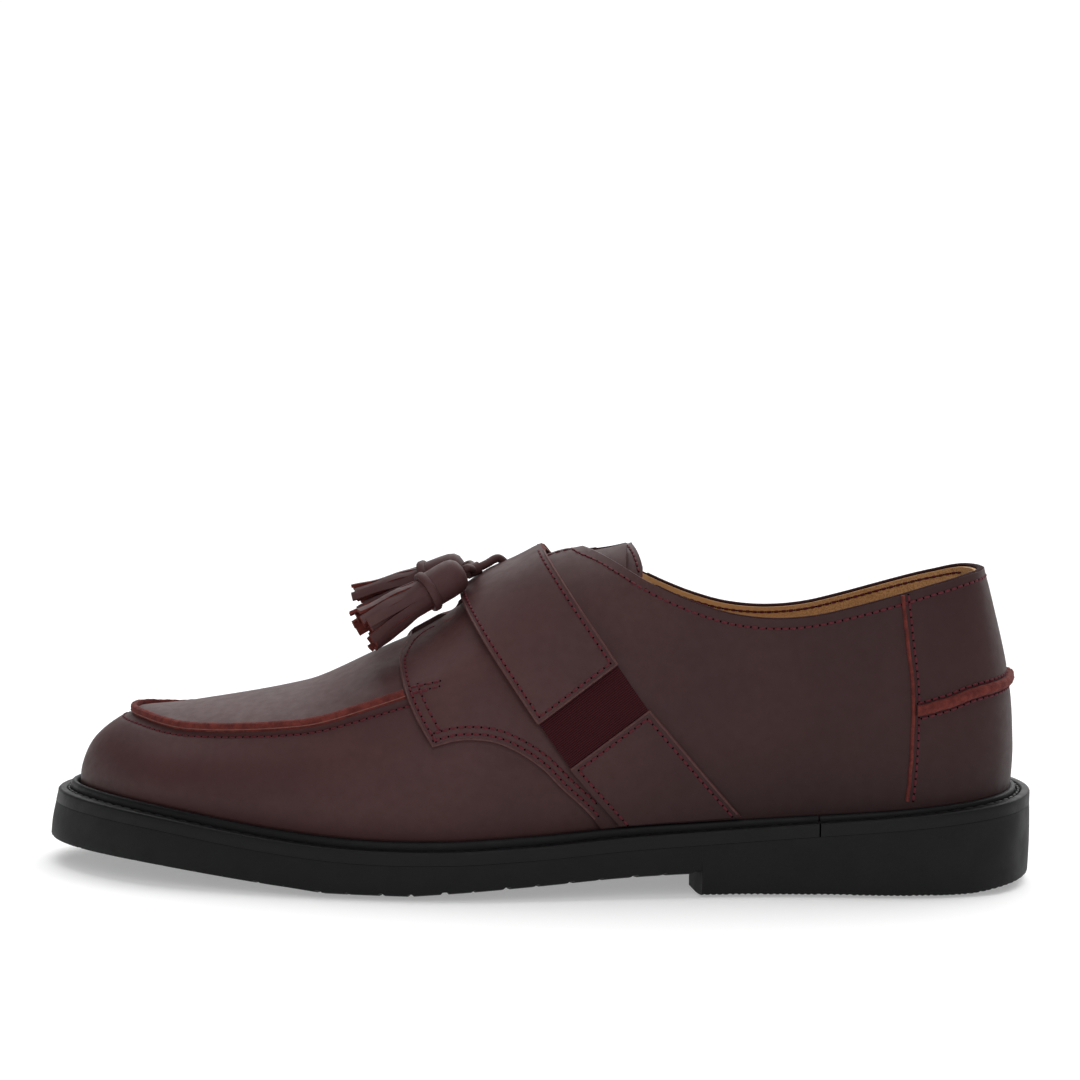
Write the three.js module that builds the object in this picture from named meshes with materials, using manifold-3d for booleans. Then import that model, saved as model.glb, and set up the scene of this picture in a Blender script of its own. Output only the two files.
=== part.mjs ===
// Tassel loafer, left shoe: a moccasin-toe slip-on with wing quarters, an elastic strap and two tassels.
// Millimetres. +X runs from toe to heel, +Y to the inner side of the foot and +Z up.
// The origin is on the floor under the middle of the shoe's outline.
import * as THREE from 'three';
import { mergeVertices } from 'three/addons/utils/BufferGeometryUtils.js';
import Module from 'manifold-3d';

const wasm = await Module();
wasm.setup();

// Driving sizes of the whole shoe
const shoeLength = 303;
const ballWidth = 108;
const instepHeight = 85;
const heelStack = 28.5;

// Thicknesses and fits
const upperWall = 2.2;
const wingStep = 1.2;
const strapThickness = 2.4;
const elasticThickness = 1.5;
const anchorThickness = 1.4;
const rimStand = 2.1;
const rimWidth = 2.0;
const pipingStand = 1.3;
const pipingWidth = 1.8;
const ridgeStand = 1.6;
const ridgeHeight = 3.2;
const tongueThickness = 1.8;
const insoleThickness = 3.2;
const insoleClear = 0.8;
const fitGap = 0.3;
const collarTilt = 0.03;
const anchorLift = 1.5;

// Sole and welt
const weltThickness = 4.0;
const weltRim = 2.8;
const channelDepth = 1.0;
const beadWidth = 2.2;
const beadHeight = 2.3;
const beadFoot = 0.75;
const beadTaper = 0.35;
const beadHeelShare = 0.5;
const beadBackShare = 0.75;
const beadFrontShare = 0.6;
const weltReach = 14;
const plateauDrop = 1.2;
const treadCrown = 1.6;
const heelRoll = 2.2;
const heelRollAlong = 278;
const treadBevel = 9;
const jointLean = 0.7;
const soleChamfer = 0.8;
const slitWidth = 0.5;
const slitAlong = 84;
const breastAlong = 200.5;

// Strap, elastic and anchor, in the side view
const strapWidth = 29;
const strapSlope = THREE.MathUtils.degToRad(54);
const strapEndAlong = 150.9;
const strapEndUp = 51.9;
const elasticLength = 16;
const anchorReach = 56;
const anchorDrift = 5;

// Throat between the wings, and the tongue under it
const throatHalf = 7;
const throatFront = 136;
const tongueHalf = 21;
const tongueFront = 114;
const tongueEnd = 181;
const tongueNotch = 2.5;
const tongueRise = 1.0;
const tongueRiseFrom = 167;
const tongueCorner = 6;
const throatBehind = 4;
const throatTaper = 20;
const throatSpread = 1.7;

// Tassels and their cord
const tasselCapRadius = 5.6;
const tasselCapLength = 14;
const tasselBand = 0.9;
const fringeLength = 21;
const fringeSpread = 7.4;
const fringeThickness = 1.5;
const fringeStrips = 11;
const fringeTuck = 1.5;
const fringeVary = 1.6;
const fringeSway = 0.5;
const cordRadius = 1.3;
const sleeveRadius = 2.0;
const sleeveLength = 4.5;
const seatAlong = 142.5;
const seatAcross = 4.5;
const knotAlong = 134;
const knotLift = 5.2;
const instepSlope = THREE.MathUtils.degToRad(33);
const tasselPlaces = {
  lateral: { cap: new THREE.Vector3(-2.8, -10.8, 0.9), lean: 29, turn: 20 },
  medial: { cap: new THREE.Vector3(-2.6, 7.2, 0.4), lean: 22, turn: -8 },
};

// Spacing of the sections round the outline, in degrees, and the pieces of each section
const stationStep = 5;
const wallSteps = 8;
const crownSteps = 8;

// The last, one row for each section. `turn` goes round the outline from the toe tip (0) to the
// heel (180). lateral, medial and axis are shares of the ball width, as are the four insets foot,
// bulge, wall and shoulder, taken inward from the sole's edge, the inward lean of the sole's side
// and the backward shift `back`. rim and tread are shares of the heel stack. The heights named up
// are shares of the instep height, taken from the rim of the welt. crown is the power of the arch.
const lastColumns = ['turn', 'lateral', 'medial', 'axis', 'rim', 'tread', 'lean', 'foot', 'bulge', 'wall',
  'shoulder', 'back', 'bulgeUp', 'wallUp', 'shoulderUp', 'ridgeUp', 'crown'];
const lastRows = [
  [0, .056, .056, .056, .786, .20, .020, .083, .088, .119, .181, .056, .082, .184, .280, .280, 2],
  [20, -.157, .250, .051, .785, .20, .014, .081, .081, .112, .176, .046, .085, .184, .279, .299, 2],
  [40, -.352, .398, .042, .737, .17, .004, .067, .056, .090, .167, .028, .094, .182, .279, .340, 2],
  [60, -.468, .481, .032, .572, .04, 0, .065, .044, .076, .157, .005, .118, .247, .374, .474, 2.1],
  [70, -.509, .486, .028, .519, -.025, 0, .065, .043, .074, .162, 0, .135, .306, .470, .604, 2.2],
  [80, -.519, .458, .023, .523, .03, 0, .065, .044, .076, .176, 0, .153, .365, .576, .750, 2.3],
  [90, -.486, .389, .019, .572, .10, 0, .067, .050, .083, .194, 0, .171, .424, .702, .934, 2.5],
  [100, -.435, .329, .009, .649, .17, 0, .070, .057, .089, .194, 0, .188, .471, .812, .984, 2.5],
  [110, -.394, .310, .005, .705, .21, 0, .069, .058, .086, .181, 0, .200, .506, .894, 1.094, 2.5],
  [120, -.370, .324, 0, .765, .25, 0, .068, .058, .084, .160, 0, .206, .524, .938, 1.329, 2.3],
  [140, -.356, .347, 0, .888, .28, 0, .068, .060, .084, .151, 0, .200, .506, .926, 1.353, 2.1],
  [160, -.250, .250, 0, .982, .28, 0, .068, .063, .086, .165, 0, .182, .465, .894, 1.082, 2.1],
  [180, 0, 0, 0, 1.0, .28, 0, .068, .064, .088, .179, 0, .176, .447, .888, .888, 2],
];

// Lines seen from the side. along is a share of the length from the toe, up a share of the instep
// height above the rim of the welt.
const sideLines = {
  topline: [[0.500, 1.06], [0.516, 1.03], [0.537, 0.990], [0.556, 0.960], [0.577, 0.917], [0.600, 0.866],
    [0.625, 0.818], [0.655, 0.770], [0.690, 0.728], [0.730, 0.705], [0.770, 0.706], [0.810, 0.728],
    [0.853, 0.758], [0.902, 0.792], [0.950, 0.812], [1.05, 0.815]],
  wingFront: [[0.420, 1.00], [0.413, 0.768], [0.389, 0.737], [0.370, 0.693], [0.361, 0.645], [0.359, 0.614],
    [0.366, 0.536], [0.379, 0.446], [0.396, 0.354]],
  wingLower: [[0.396, 0.354], [0.423, 0.376], [0.452, 0.368], [0.476, 0.332], [0.501, 0.269],
    [0.522, 0.189], [0.551, 0.080], [0.575, -0.05]],
  heelSeam: [[0.853, 0.86], [0.858, 0.74], [0.862, 0.613], [0.868, 0.440], [0.8685, 0.283],
    [0.867, 0.141], [0.865, 0.045]],
  heelRidge: [[0.874, 0.361], [0.905, 0.380], [0.938, 0.404], [1.02, 0.425]],
};

const radians = THREE.MathUtils.degToRad;
const mix = THREE.MathUtils.lerp;

// Value of a column of the last at any place round the outline. theta is the turn on the lateral
// side and minus the turn on the medial side; past either end the other side carries on.
function lastValue(name, theta) {
  const side = Math.atan2(Math.sin(radians(theta)), Math.cos(radians(theta)));
  const turn = Math.abs(THREE.MathUtils.radToDeg(side));
  const swap = { lateral: 'medial', medial: 'lateral' };
  const across = name === 'across';
  const own = across ? (side >= 0 ? 'lateral' : 'medial') : name;
  const other = swap[own] ?? own;
  const end = lastRows.length - 1;
  const knot = (k) => {
    if (k < 0) return [-lastRows[-k][0], lastRows[-k][lastColumns.indexOf(other)]];
    if (k > end) return [360 - lastRows[2 * end - k][0], lastRows[2 * end - k][lastColumns.indexOf(other)]];
    return [lastRows[k][0], lastRows[k][lastColumns.indexOf(own)]];
  };
  let row = 0;
  while (row < end - 1 && lastRows[row + 1][0] <= turn) row += 1;
  const [before, from, to, after] = [row - 1, row, row + 1, row + 2].map(knot);
  const span = to[0] - from[0];
  const t = (turn - from[0]) / span;
  const slopeFrom = ((to[1] - before[1]) / (to[0] - before[0])) * span;
  const slopeTo = ((after[1] - from[1]) / (after[0] - from[0])) * span;
  const t2 = t * t;
  const t3 = t2 * t;
  return (2 * t3 - 3 * t2 + 1) * from[1] + (t3 - 2 * t2 + t) * slopeFrom
    + (3 * t2 - 2 * t3) * to[1] + (t3 - t2) * slopeTo;
}

// Outline of the sole in plan, and its inward normal
function outline(theta) {
  const x = (-shoeLength / 2) * Math.cos(radians(theta));
  return new THREE.Vector2(x, ballWidth * lastValue('across', theta));
}

function inward(theta) {
  const ahead = outline(theta + 1);
  const behind = outline(theta - 1);
  const along = ahead.sub(behind).normalize();
  return new THREE.Vector2(-along.y, along.x);
}

const rimHeight = (theta) => heelStack * lastValue('rim', theta);
const treadHeight = (theta) => Math.max(0, heelStack * lastValue('tread', theta));
const footInset = (theta) => ballWidth * lastValue('foot', theta);
const clamp = THREE.MathUtils.clamp;
const turnAt = (x) => THREE.MathUtils.radToDeg(Math.acos(clamp((-2 * x) / shoeLength, -1, 1)));

// A point of the side view, from its shares
function sidePoint([along, up]) {
  const x = (along - 0.5) * shoeLength;
  return new THREE.Vector2(x, rimHeight(turnAt(x)) + up * instepHeight);
}

function sideCurve(name, pieces) {
  return new THREE.SplineCurve(sideLines[name].map(sidePoint)).getPoints(pieces);
}

// Closed meshes and booleans
function toSolid(geometry) {
  const bare = geometry.index ? geometry.clone() : geometry;
  bare.deleteAttribute('normal');
  bare.deleteAttribute('uv');
  const merged = mergeVertices(bare, 1e-4);
  const vertProperties = new Float32Array(merged.attributes.position.array);
  const corners = [...merged.index.array];
  const faces = Array.from({ length: corners.length / 3 }, (_, k) => corners.slice(3 * k, 3 * k + 3));
  const triVerts = new Uint32Array(faces.filter(([a, b, c]) => a !== b && b !== c && c !== a).flat());
  return new wasm.Manifold(new wasm.Mesh({ numProp: 3, vertProperties, triVerts }));
}

function solidOf(points, triangles) {
  const geometry = new THREE.BufferGeometry();
  const places = points.flatMap((p) => [p.x, p.y, p.z]);
  geometry.setAttribute('position', new THREE.Float32BufferAttribute(places, 3));
  geometry.setIndex(triangles.flat());
  return toSolid(geometry);
}

const materials = {};
function material(name, color, roughness) {
  materials[name] ??= new THREE.MeshStandardMaterial({ color, roughness, metalness: 0 });
  return materials[name];
}

function meshOf(name, solid, finish) {
  const mesh = solid.getMesh();
  const geometry = new THREE.BufferGeometry();
  geometry.setAttribute('position', new THREE.Float32BufferAttribute(mesh.vertProperties, 3));
  geometry.setIndex(new THREE.Uint32BufferAttribute(mesh.triVerts, 1));
  const node = new THREE.Mesh(geometry, finish);
  node.name = name;
  return node;
}

// Prisms across the shoe, from an outline in the side view, and upright ones from a plan outline
function sidePrism(points, yFrom = -ballWidth, yTo = ballWidth, tilt = 0) {
  const depth = yTo - yFrom;
  const geometry = new THREE.ExtrudeGeometry(new THREE.Shape(points), { depth, bevelEnabled: false });
  geometry.rotateX(Math.PI / 2);
  geometry.translate(0, yTo, 0);
  const place = geometry.attributes.position;
  for (let k = 0; k < place.count; k += 1) place.setZ(k, place.getZ(k) - tilt * place.getY(k));
  return toSolid(geometry);
}

function planPrism(points, zFrom, zTo) {
  const depth = zTo - zFrom;
  const geometry = new THREE.ExtrudeGeometry(new THREE.Shape(points), { depth, bevelEnabled: false });
  geometry.translate(0, 0, zFrom);
  return toSolid(geometry);
}

const skyHigh = heelStack + instepHeight * 2;

// Sections of the last's outside. Each one runs from the lateral foot over the crest to the medial
// foot; at the toe and the heel the two halves lie on each other and are one line.
const wallColumns = [['foot', null], ['bulge', 'bulgeUp'], ['wall', 'wallUp'], ['shoulder', 'shoulderUp']];

function wallCurve(theta) {
  return new THREE.SplineCurve(wallColumns.map(([inset, up]) => new THREE.Vector2(
    ballWidth * lastValue(inset, theta),
    up ? instepHeight * lastValue(up, theta) : 0,
  )));
}

function wallPoint(theta, share) {
  const { x: inset, y: up } = wallCurve(theta).getPoint(share);
  const edge = outline(theta).addScaledVector(inward(theta), inset);
  const back = ballWidth * lastValue('back', theta) * share ** 5;
  return new THREE.Vector3(edge.x + back, edge.y, rimHeight(theta) + up);
}

function crownPoint(turn, share) {
  const left = wallPoint(turn, 1);
  const right = wallPoint(-turn, 1);
  const top = rimHeight(turn) + instepHeight * lastValue('ridgeUp', turn);
  const crest = new THREE.Vector3((left.x + right.x) / 2, ballWidth * lastValue('axis', turn), top);
  const edge = share < 0 ? left : right;
  const s = Math.abs(share);
  const drop = s ** lastValue('crown', turn);
  return new THREE.Vector3(mix(crest.x, edge.x, s), mix(crest.y, edge.y, s), mix(crest.z, edge.z, drop));
}

const stations = Array.from({ length: 180 / stationStep + 1 }, (_, i) => i * stationStep);
const across = 2 * wallSteps + crownSteps;
const lastGrid = stations.map((turn) => Array.from({ length: across + 1 }, (_, j) => {
  if (j <= wallSteps) return wallPoint(turn, j / wallSteps);
  if (j >= across - wallSteps) return wallPoint(-turn, (across - j) / wallSteps);
  return crownPoint(turn, ((j - wallSteps) / crownSteps) * 2 - 1);
}));

function lastIndex(i, j) {
  const folded = i === 0 || i === stations.length - 1;
  return i * (across + 1) + (folded ? Math.min(j, across - j, wallSteps) : j);
}

const lastNormals = (() => {
  const normals = lastGrid.flat().map(() => new THREE.Vector3());
  const points = lastGrid.flat();
  for (let i = 0; i < stations.length - 1; i += 1) {
    for (let j = 0; j < across; j += 1) {
      const corners = [lastIndex(i, j), lastIndex(i + 1, j), lastIndex(i + 1, j + 1), lastIndex(i, j + 1)];
      const [a, b, c, d] = corners.map((k) => points[k]);
      const normal = c.clone().sub(a).cross(d.clone().sub(b));
      new Set(corners).forEach((k) => normals[k].add(normal));
    }
  }
  normals.forEach((normal, k) => {
    const j = k % (across + 1);
    if (j === 0 || j === across) normal.setZ(0);
    normal.normalize();
  });
  return normals;
})();

// The last grown by `offset` along its normals, closed underneath. `footShare` is how much of the
// offset the foot takes, `drop` carries the foot straight down as a skirt, and `lift` raises the
// crest by a height that depends on the turn.
function lastForm(offset, { drop = 0, footShare = 1, lift = () => 0 } = {}) {
  const points = [];
  const triangles = [];
  const place = (i, j) => {
    const k = lastIndex(i, j);
    const fromFoot = Math.min(j, across - j, wallSteps);
    const share = mix(footShare, 1, Math.min(1, fromFoot / 2));
    const point = lastGrid.flat()[k].clone().addScaledVector(lastNormals[k], offset * share);
    if (j === across / 2) point.z += lift(stations[i]);
    return point;
  };
  const width = across + 3;
  const index = (i, j) => {
    const folded = i === 0 || i === stations.length - 1;
    return i * width + (folded ? Math.min(j, width - 1 - j, wallSteps + 1) : j);
  };
  stations.forEach((_, i) => {
    for (let j = 0; j < width; j += 1) {
      const point = place(i, clamp(j - 1, 0, across));
      if (j === 0 || j === width - 1) point.z -= drop;
      points.push(point);
    }
  });
  const first = drop > 0 ? 0 : 1;
  const final = width - 1 - first;
  for (let i = 0; i < stations.length - 1; i += 1) {
    for (let j = first; j < final; j += 1) {
      triangles.push([index(i, j), index(i + 1, j), index(i + 1, j + 1)]);
      triangles.push([index(i, j), index(i + 1, j + 1), index(i, j + 1)]);
    }
    triangles.push([index(i, first), index(i + 1, final), index(i + 1, first)]);
    triangles.push([index(i, first), index(i, final), index(i + 1, final)]);
  }
  return solidOf(points, triangles);
}

// A skin between two sizes of the last, kept inside `region`
function skin(from, thickness, region, lift) {
  return lastForm(from + thickness, { lift })
    .subtract(lastForm(from, { drop: heelStack, lift }))
    .intersect(region);
}

// Rings round the sole's outline. Each level gives its inset and height round the outline.
const around = [...stations, ...stations.slice(1, -1).reverse().map((turn) => -turn)];

function ringPoint(theta, [inset, height]) {
  const edge = outline(theta).addScaledVector(inward(theta), inset);
  return new THREE.Vector3(edge.x, edge.y, height);
}

function ringLoft(levels, closedRing = false) {
  const count = around.length;
  const points = levels.flatMap((level) => around.map((theta) => ringPoint(theta, level(theta))));
  const triangles = [];
  const bands = closedRing ? levels.length : levels.length - 1;
  for (let k = 0; k < bands; k += 1) {
    const low = k * count;
    const high = ((k + 1) % levels.length) * count;
    for (let i = 0; i < count; i += 1) {
      const next = (i + 1) % count;
      triangles.push([low + i, low + next, high + next], [low + i, high + next, high + i]);
    }
  }
  if (!closedRing) {
    const top = (levels.length - 1) * count;
    for (let i = 0; i < count / 2; i += 1) {
      const [a, b] = [i, i + 1];
      const [c, d] = [(count - i) % count, count - i - 1];
      triangles.push([a, d, b], [a, c, d], [top + a, top + b, top + d], [top + a, top + d, top + c]);
    }
  }
  return solidOf(points, triangles);
}

// Sole: a unit sole with a crowned tread, upright side and a block heel
const jointHeight = (theta) => rimHeight(theta) - weltThickness;
const soleLean = (theta) => ballWidth * lastValue('lean', theta);
const plateau = weltReach + fitGap;

function soleForm(bottom, crown) {
  return ringLoft([
    (theta) => [treadBevel, bottom(theta)],
    (theta) => [soleChamfer, bottom(theta) + crown],
    (theta) => [0, bottom(theta) + crown + soleChamfer],
    (theta) => [soleLean(theta) * jointLean, jointHeight(theta) - fitGap],
    (theta) => [plateau, jointHeight(theta) - fitGap],
    (theta) => [plateau, rimHeight(theta) - plateauDrop],
  ]);
}

const breastX = breastAlong - shoeLength / 2;
const heelRegion = sidePrism([
  [breastX, -heelStack], [shoeLength, -heelStack], [shoeLength, heelStack], [breastX, heelStack],
].map(([x, z]) => new THREE.Vector2(x, z)));
const heelTread = (theta) => heelRoll
  * THREE.MathUtils.smoothstep(outline(theta).x, heelRollAlong - shoeLength / 2, shoeLength / 2);
const heelBlock = soleForm(heelTread, soleChamfer).intersect(heelRegion);
const outsole = soleForm(treadHeight, treadCrown).add(heelBlock);

// Welt: a strip round the sole with a stitched channel and a raised bead against the upper
const beadShare = (theta) => mix(
  1,
  beadHeelShare,
  THREE.MathUtils.smoothstep(outline(theta).x, 0, shoeLength / 2),
);
const beadTop = (theta) => rimHeight(theta) + beadHeight * beadShare(theta);
const beadBack = (theta) => footInset(theta) - beadFoot;
const weltRing = ringLoft([
  (theta) => [soleLean(theta) * jointLean, jointHeight(theta)],
  (theta) => [weltReach, jointHeight(theta)],
  (theta) => [weltReach, rimHeight(theta) - fitGap],
  (theta) => [beadBack(theta), rimHeight(theta) - fitGap],
  (theta) => [beadBack(theta) - beadTaper, mix(rimHeight(theta), beadTop(theta), beadBackShare)],
  (theta) => [beadBack(theta) - beadWidth / 2, beadTop(theta)],
  (theta) => [beadBack(theta) - beadWidth, mix(rimHeight(theta), beadTop(theta), beadFrontShare)],
  (theta) => [beadBack(theta) - beadWidth, rimHeight(theta) - channelDepth],
  (theta) => [weltRim + soleLean(theta), rimHeight(theta) - channelDepth],
  (theta) => [weltRim + soleLean(theta), rimHeight(theta)],
  (theta) => [soleLean(theta), rimHeight(theta)],
].reverse(), true);
const slitEnd = slitAlong + slitWidth;
const slit = sidePrism([[slitAlong, 0], [slitEnd, 0], [slitEnd, skyHigh], [slitAlong, skyHigh]]
  .map(([x, z]) => new THREE.Vector2(x, z)), -ballWidth, 0);
const welt = weltRing.subtract(slit);

// Insole: a plate inside the foot of the upper
const insoleInset = (theta) => footInset(theta) + upperWall + insoleClear;
const insole = ringLoft([
  (theta) => [insoleInset(theta), rimHeight(theta) + fitGap],
  (theta) => [insoleInset(theta), rimHeight(theta) + insoleThickness],
]);

// Upper: one hollow wall, thicker by a step where the wings and quarters lie over the vamp
const wingOutline = [
  ...sideCurve('wingFront', 12),
  ...sideCurve('wingLower', 10).slice(1),
  new THREE.Vector2(shoeLength, 0),
  new THREE.Vector2(shoeLength, skyHigh),
  new THREE.Vector2(sidePoint(sideLines.wingFront[0]).x, skyHigh),
];
const throatX = throatFront - shoeLength / 2;
const throatRear = tongueEnd - shoeLength / 2 + throatBehind;
const throatBend = throatRear - throatTaper;
const rearHalf = throatHalf * throatSpread;
const throat = planPrism([
  [throatX, -throatHalf], [throatBend, -throatHalf], [throatRear, -rearHalf],
  [throatRear, rearHalf], [throatBend, throatHalf], [throatX, throatHalf],
].map(([x, y]) => new THREE.Vector2(x, y)), heelStack * 2, skyHigh);
const wingGap = planPrism([[-shoeLength / 2, -throatHalf], [throatX, -throatHalf], [throatX, throatHalf],
  [-shoeLength / 2, throatHalf]].map(([x, y]) => new THREE.Vector2(x, y)), heelStack, skyHigh);
const collar = sidePrism([
  ...sideCurve('topline', 28),
  new THREE.Vector2(shoeLength, skyHigh),
  new THREE.Vector2(sidePoint(sideLines.topline[0]).x, skyHigh),
], -ballWidth, ballWidth, collarTilt);
const wings = lastForm(wingStep, { footShare: 0.2 }).intersect(sidePrism(wingOutline)).subtract(wingGap);
const upper = lastForm(0).add(wings)
  .subtract(lastForm(-upperWall, { drop: heelStack }))
  .subtract(collar)
  .subtract(throat);

// Tongue: the leather that carries on under the wings, ending behind them
const tongueX = tongueFront - shoeLength / 2;
const tongueEndX = tongueEnd - shoeLength / 2;
const tongueShape = new THREE.Shape();
tongueShape.moveTo(tongueX, -tongueHalf);
tongueShape.lineTo(tongueEndX - tongueCorner, -tongueHalf);
tongueShape.quadraticCurveTo(tongueEndX, -tongueHalf, tongueEndX, -tongueHalf + tongueCorner);
tongueShape.lineTo(tongueEndX - tongueNotch, 0);
tongueShape.lineTo(tongueEndX, tongueHalf - tongueCorner);
tongueShape.quadraticCurveTo(tongueEndX, tongueHalf, tongueEndX - tongueCorner, tongueHalf);
tongueShape.lineTo(tongueX, tongueHalf);
const tongueLift = (turn) => tongueRise
  * THREE.MathUtils.smoothstep(outline(turn).x, tongueRiseFrom - shoeLength / 2, tongueEndX);
const tongue = skin(-upperWall - fitGap - tongueThickness, tongueThickness,
  planPrism(tongueShape.getPoints(4), heelStack * 2, skyHigh), tongueLift);

// Strap, elastic and anchor lie on the wings along one slanting band, seen from the side
const bandStart = new THREE.Vector2(strapEndAlong - shoeLength / 2, strapEndUp);
const bandDown = new THREE.Vector2(Math.cos(strapSlope), -Math.sin(strapSlope));
const bandAcross = new THREE.Vector2(Math.sin(strapSlope), Math.cos(strapSlope));
const bandPoint = (down, over) => bandStart.clone()
  .addScaledVector(bandDown, down)
  .addScaledVector(bandAcross, over);
const overWings = wingStep + fitGap;

const strapUp = -shoeLength / 4;
const strap = skin(overWings, strapThickness, sidePrism([
  bandPoint(0, 0), bandPoint(0, strapWidth), bandPoint(strapUp, strapWidth), bandPoint(strapUp, 0),
].reverse()));

const elasticOutline = [
  bandPoint(fitGap, 0),
  bandPoint(elasticLength, 0),
  bandPoint(elasticLength, strapWidth),
  bandPoint(fitGap, strapWidth),
];
const anchorTop = elasticLength + fitGap;
const anchorOutline = [
  bandPoint(anchorTop, 0), bandPoint(anchorTop + anchorReach, anchorDrift),
  bandPoint(anchorTop + anchorReach, strapWidth + anchorDrift), bandPoint(anchorTop, strapWidth),
];
const aboveBead = ringLoft([
  (theta) => [-weltReach, beadTop(theta) + anchorLift],
  (theta) => [-weltReach, skyHigh],
]);
const halves = { lateral: [-ballWidth, 0], medial: [0, ballWidth] };

// Apron: a raised, raw-edged rim that follows the shoulder of the toe up to the wings
const apronRing = (grow) => around.map((theta) => {
  const point = wallPoint(theta, 1);
  const out = inward(theta).multiplyScalar(-grow);
  return new THREE.Vector2(point.x + out.x, point.y + out.y);
});
const apronOuter = apronRing(rimWidth / 2).reverse();
const apronInner = apronRing(-rimWidth / 2).reverse();
const apronBand = planPrism(apronOuter, heelStack, skyHigh).subtract(planPrism(apronInner, 0, skyHigh * 2));
const wingHole = wingOutline.map((p) => p.clone().add(new THREE.Vector2(-fitGap, 0)));
const apronRim = skin(fitGap, rimStand, apronBand).subtract(sidePrism(wingHole));

// Heel trim: a piped seam on each side and a raised ridge round the back between them
function ribbon(name, width, pieces) {
  const line = sideCurve(name, pieces);
  const sides = [1, -1].map((side) => line.map((point, k) => {
    const ahead = line[Math.min(k + 1, line.length - 1)].clone();
    const along = ahead.sub(line[Math.max(k - 1, 0)]).normalize();
    return point.clone().add(new THREE.Vector2(-along.y, along.x).multiplyScalar((side * width) / 2));
  }));
  return [...sides[0], ...sides[1].reverse()];
}

// Tassels: a rolled cap with a band, and a fringe of cut strips round a core, all one piece of leather
const crestAt = (along) => crownPoint(turnAt(along - shoeLength / 2), 0);
const knot = crestAt(knotAlong).add(new THREE.Vector3(0, 0, knotLift + strapThickness));

function tasselHeading(lean, turn) {
  return new THREE.Vector3(
    -Math.cos(radians(lean)) * Math.cos(radians(turn)),
    -Math.cos(radians(lean)) * Math.sin(radians(turn)),
    -Math.sin(radians(lean)),
  );
}

function tassel({ cap, lean, turn }) {
  const end = tasselCapLength + fringeLength;
  const bandRadius = tasselCapRadius + tasselBand;
  const profile = [
    [0, 0],
    [tasselCapRadius * 0.6, tasselCapLength * 0.02],
    [tasselCapRadius, tasselCapLength * 0.25],
    [tasselCapRadius, tasselCapLength * 0.81],
    [bandRadius, tasselCapLength * 0.85],
    [bandRadius, tasselCapLength],
    [tasselCapRadius * 0.8, tasselCapLength * 1.03],
    [fringeSpread * 0.63, end * 0.89],
    [0, end * 0.86],
  ].map(([r, y]) => new THREE.Vector2(r, y));
  let solid = toSolid(new THREE.LatheGeometry(profile, 10));
  for (let k = 0; k < fringeStrips; k += 1) {
    const length = fringeLength + fringeTuck + fringeVary * Math.sin(k * 2.4);
    const strip = new THREE.BoxGeometry(1, length, fringeThickness, 1, 2, 1);
    const place = strip.attributes.position;
    for (let n = 0; n < place.count; n += 1) {
      const down = clamp(place.getY(n) / length + 0.5, 0, 1);
      const radius = mix(tasselCapRadius * 0.9, fringeSpread, down ** 1.3) + place.getZ(n);
      const share = k + 0.8 * place.getX(n) + fringeSway * down * Math.sin(k);
      const arc = ((2 * Math.PI) / fringeStrips) * share;
      const below = tasselCapLength - fringeTuck + down * length;
      place.setXYZ(n, Math.sin(arc) * radius, below, Math.cos(arc) * radius);
    }
    solid = solid.add(toSolid(strip));
  }
  const heading = tasselHeading(lean, turn);
  const rotate = new THREE.Quaternion().setFromUnitVectors(new THREE.Vector3(0, 1, 0), heading);
  const frame = new THREE.Matrix4().compose(knot.clone().add(cap), rotate, new THREE.Vector3(1, 1, 1));
  return solid.transform(frame.elements);
}

// Cord: a thin round lace from the strap through a leather sleeve to each cap
function tube(points, radius, sides, steps) {
  const ring = Array.from({ length: sides }, (_, k) => new THREE.Vector2(
    radius * Math.cos((2 * Math.PI * k) / sides),
    radius * Math.sin((2 * Math.PI * k) / sides),
  ));
  const extrudePath = new THREE.CatmullRomCurve3(points);
  const settings = { steps, extrudePath, bevelEnabled: false };
  return toSolid(new THREE.ExtrudeGeometry(new THREE.Shape(ring), settings));
}

const strapTop = (wingStep + fitGap + strapThickness + fitGap + cordRadius) / Math.cos(instepSlope);
const seat = crestAt(seatAlong).add(new THREE.Vector3(0, seatAcross, strapTop));
const stem = [seat, knot];
const branches = Object.values(tasselPlaces).map(({ cap, lean, turn }) => {
  const heading = tasselHeading(lean, turn);
  const end = knot.clone().add(cap).addScaledVector(heading, -fitGap);
  return [knot, end.clone().addScaledVector(heading, -1.5 * cordRadius), end];
});
const sleeveHalf = seat.clone().sub(knot).setLength(sleeveLength / 2);
const sleeve = tube([knot.clone().sub(sleeveHalf), knot.clone().add(sleeveHalf)], sleeveRadius, 8, 1);
const laces = [stem, ...branches].map((points) => tube(points, cordRadius, 8, 4));
const cord = laces.reduce((solid, lace) => solid.add(lace), sleeve);

const root = new THREE.Group();
const leather = material('leather', 0x432c2c, 0.5);
const rawEdge = material('raw_edge', 0x6a2522, 0.85);
const soleRubber = material('sole_rubber', 0x161616, 0.45);
const weltRubber = material('welt_rubber', 0x101010, 0.35);
const webbing = material('webbing', 0x3a1418, 0.8);
const lining = material('lining', 0xa87a45, 0.75);

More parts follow.
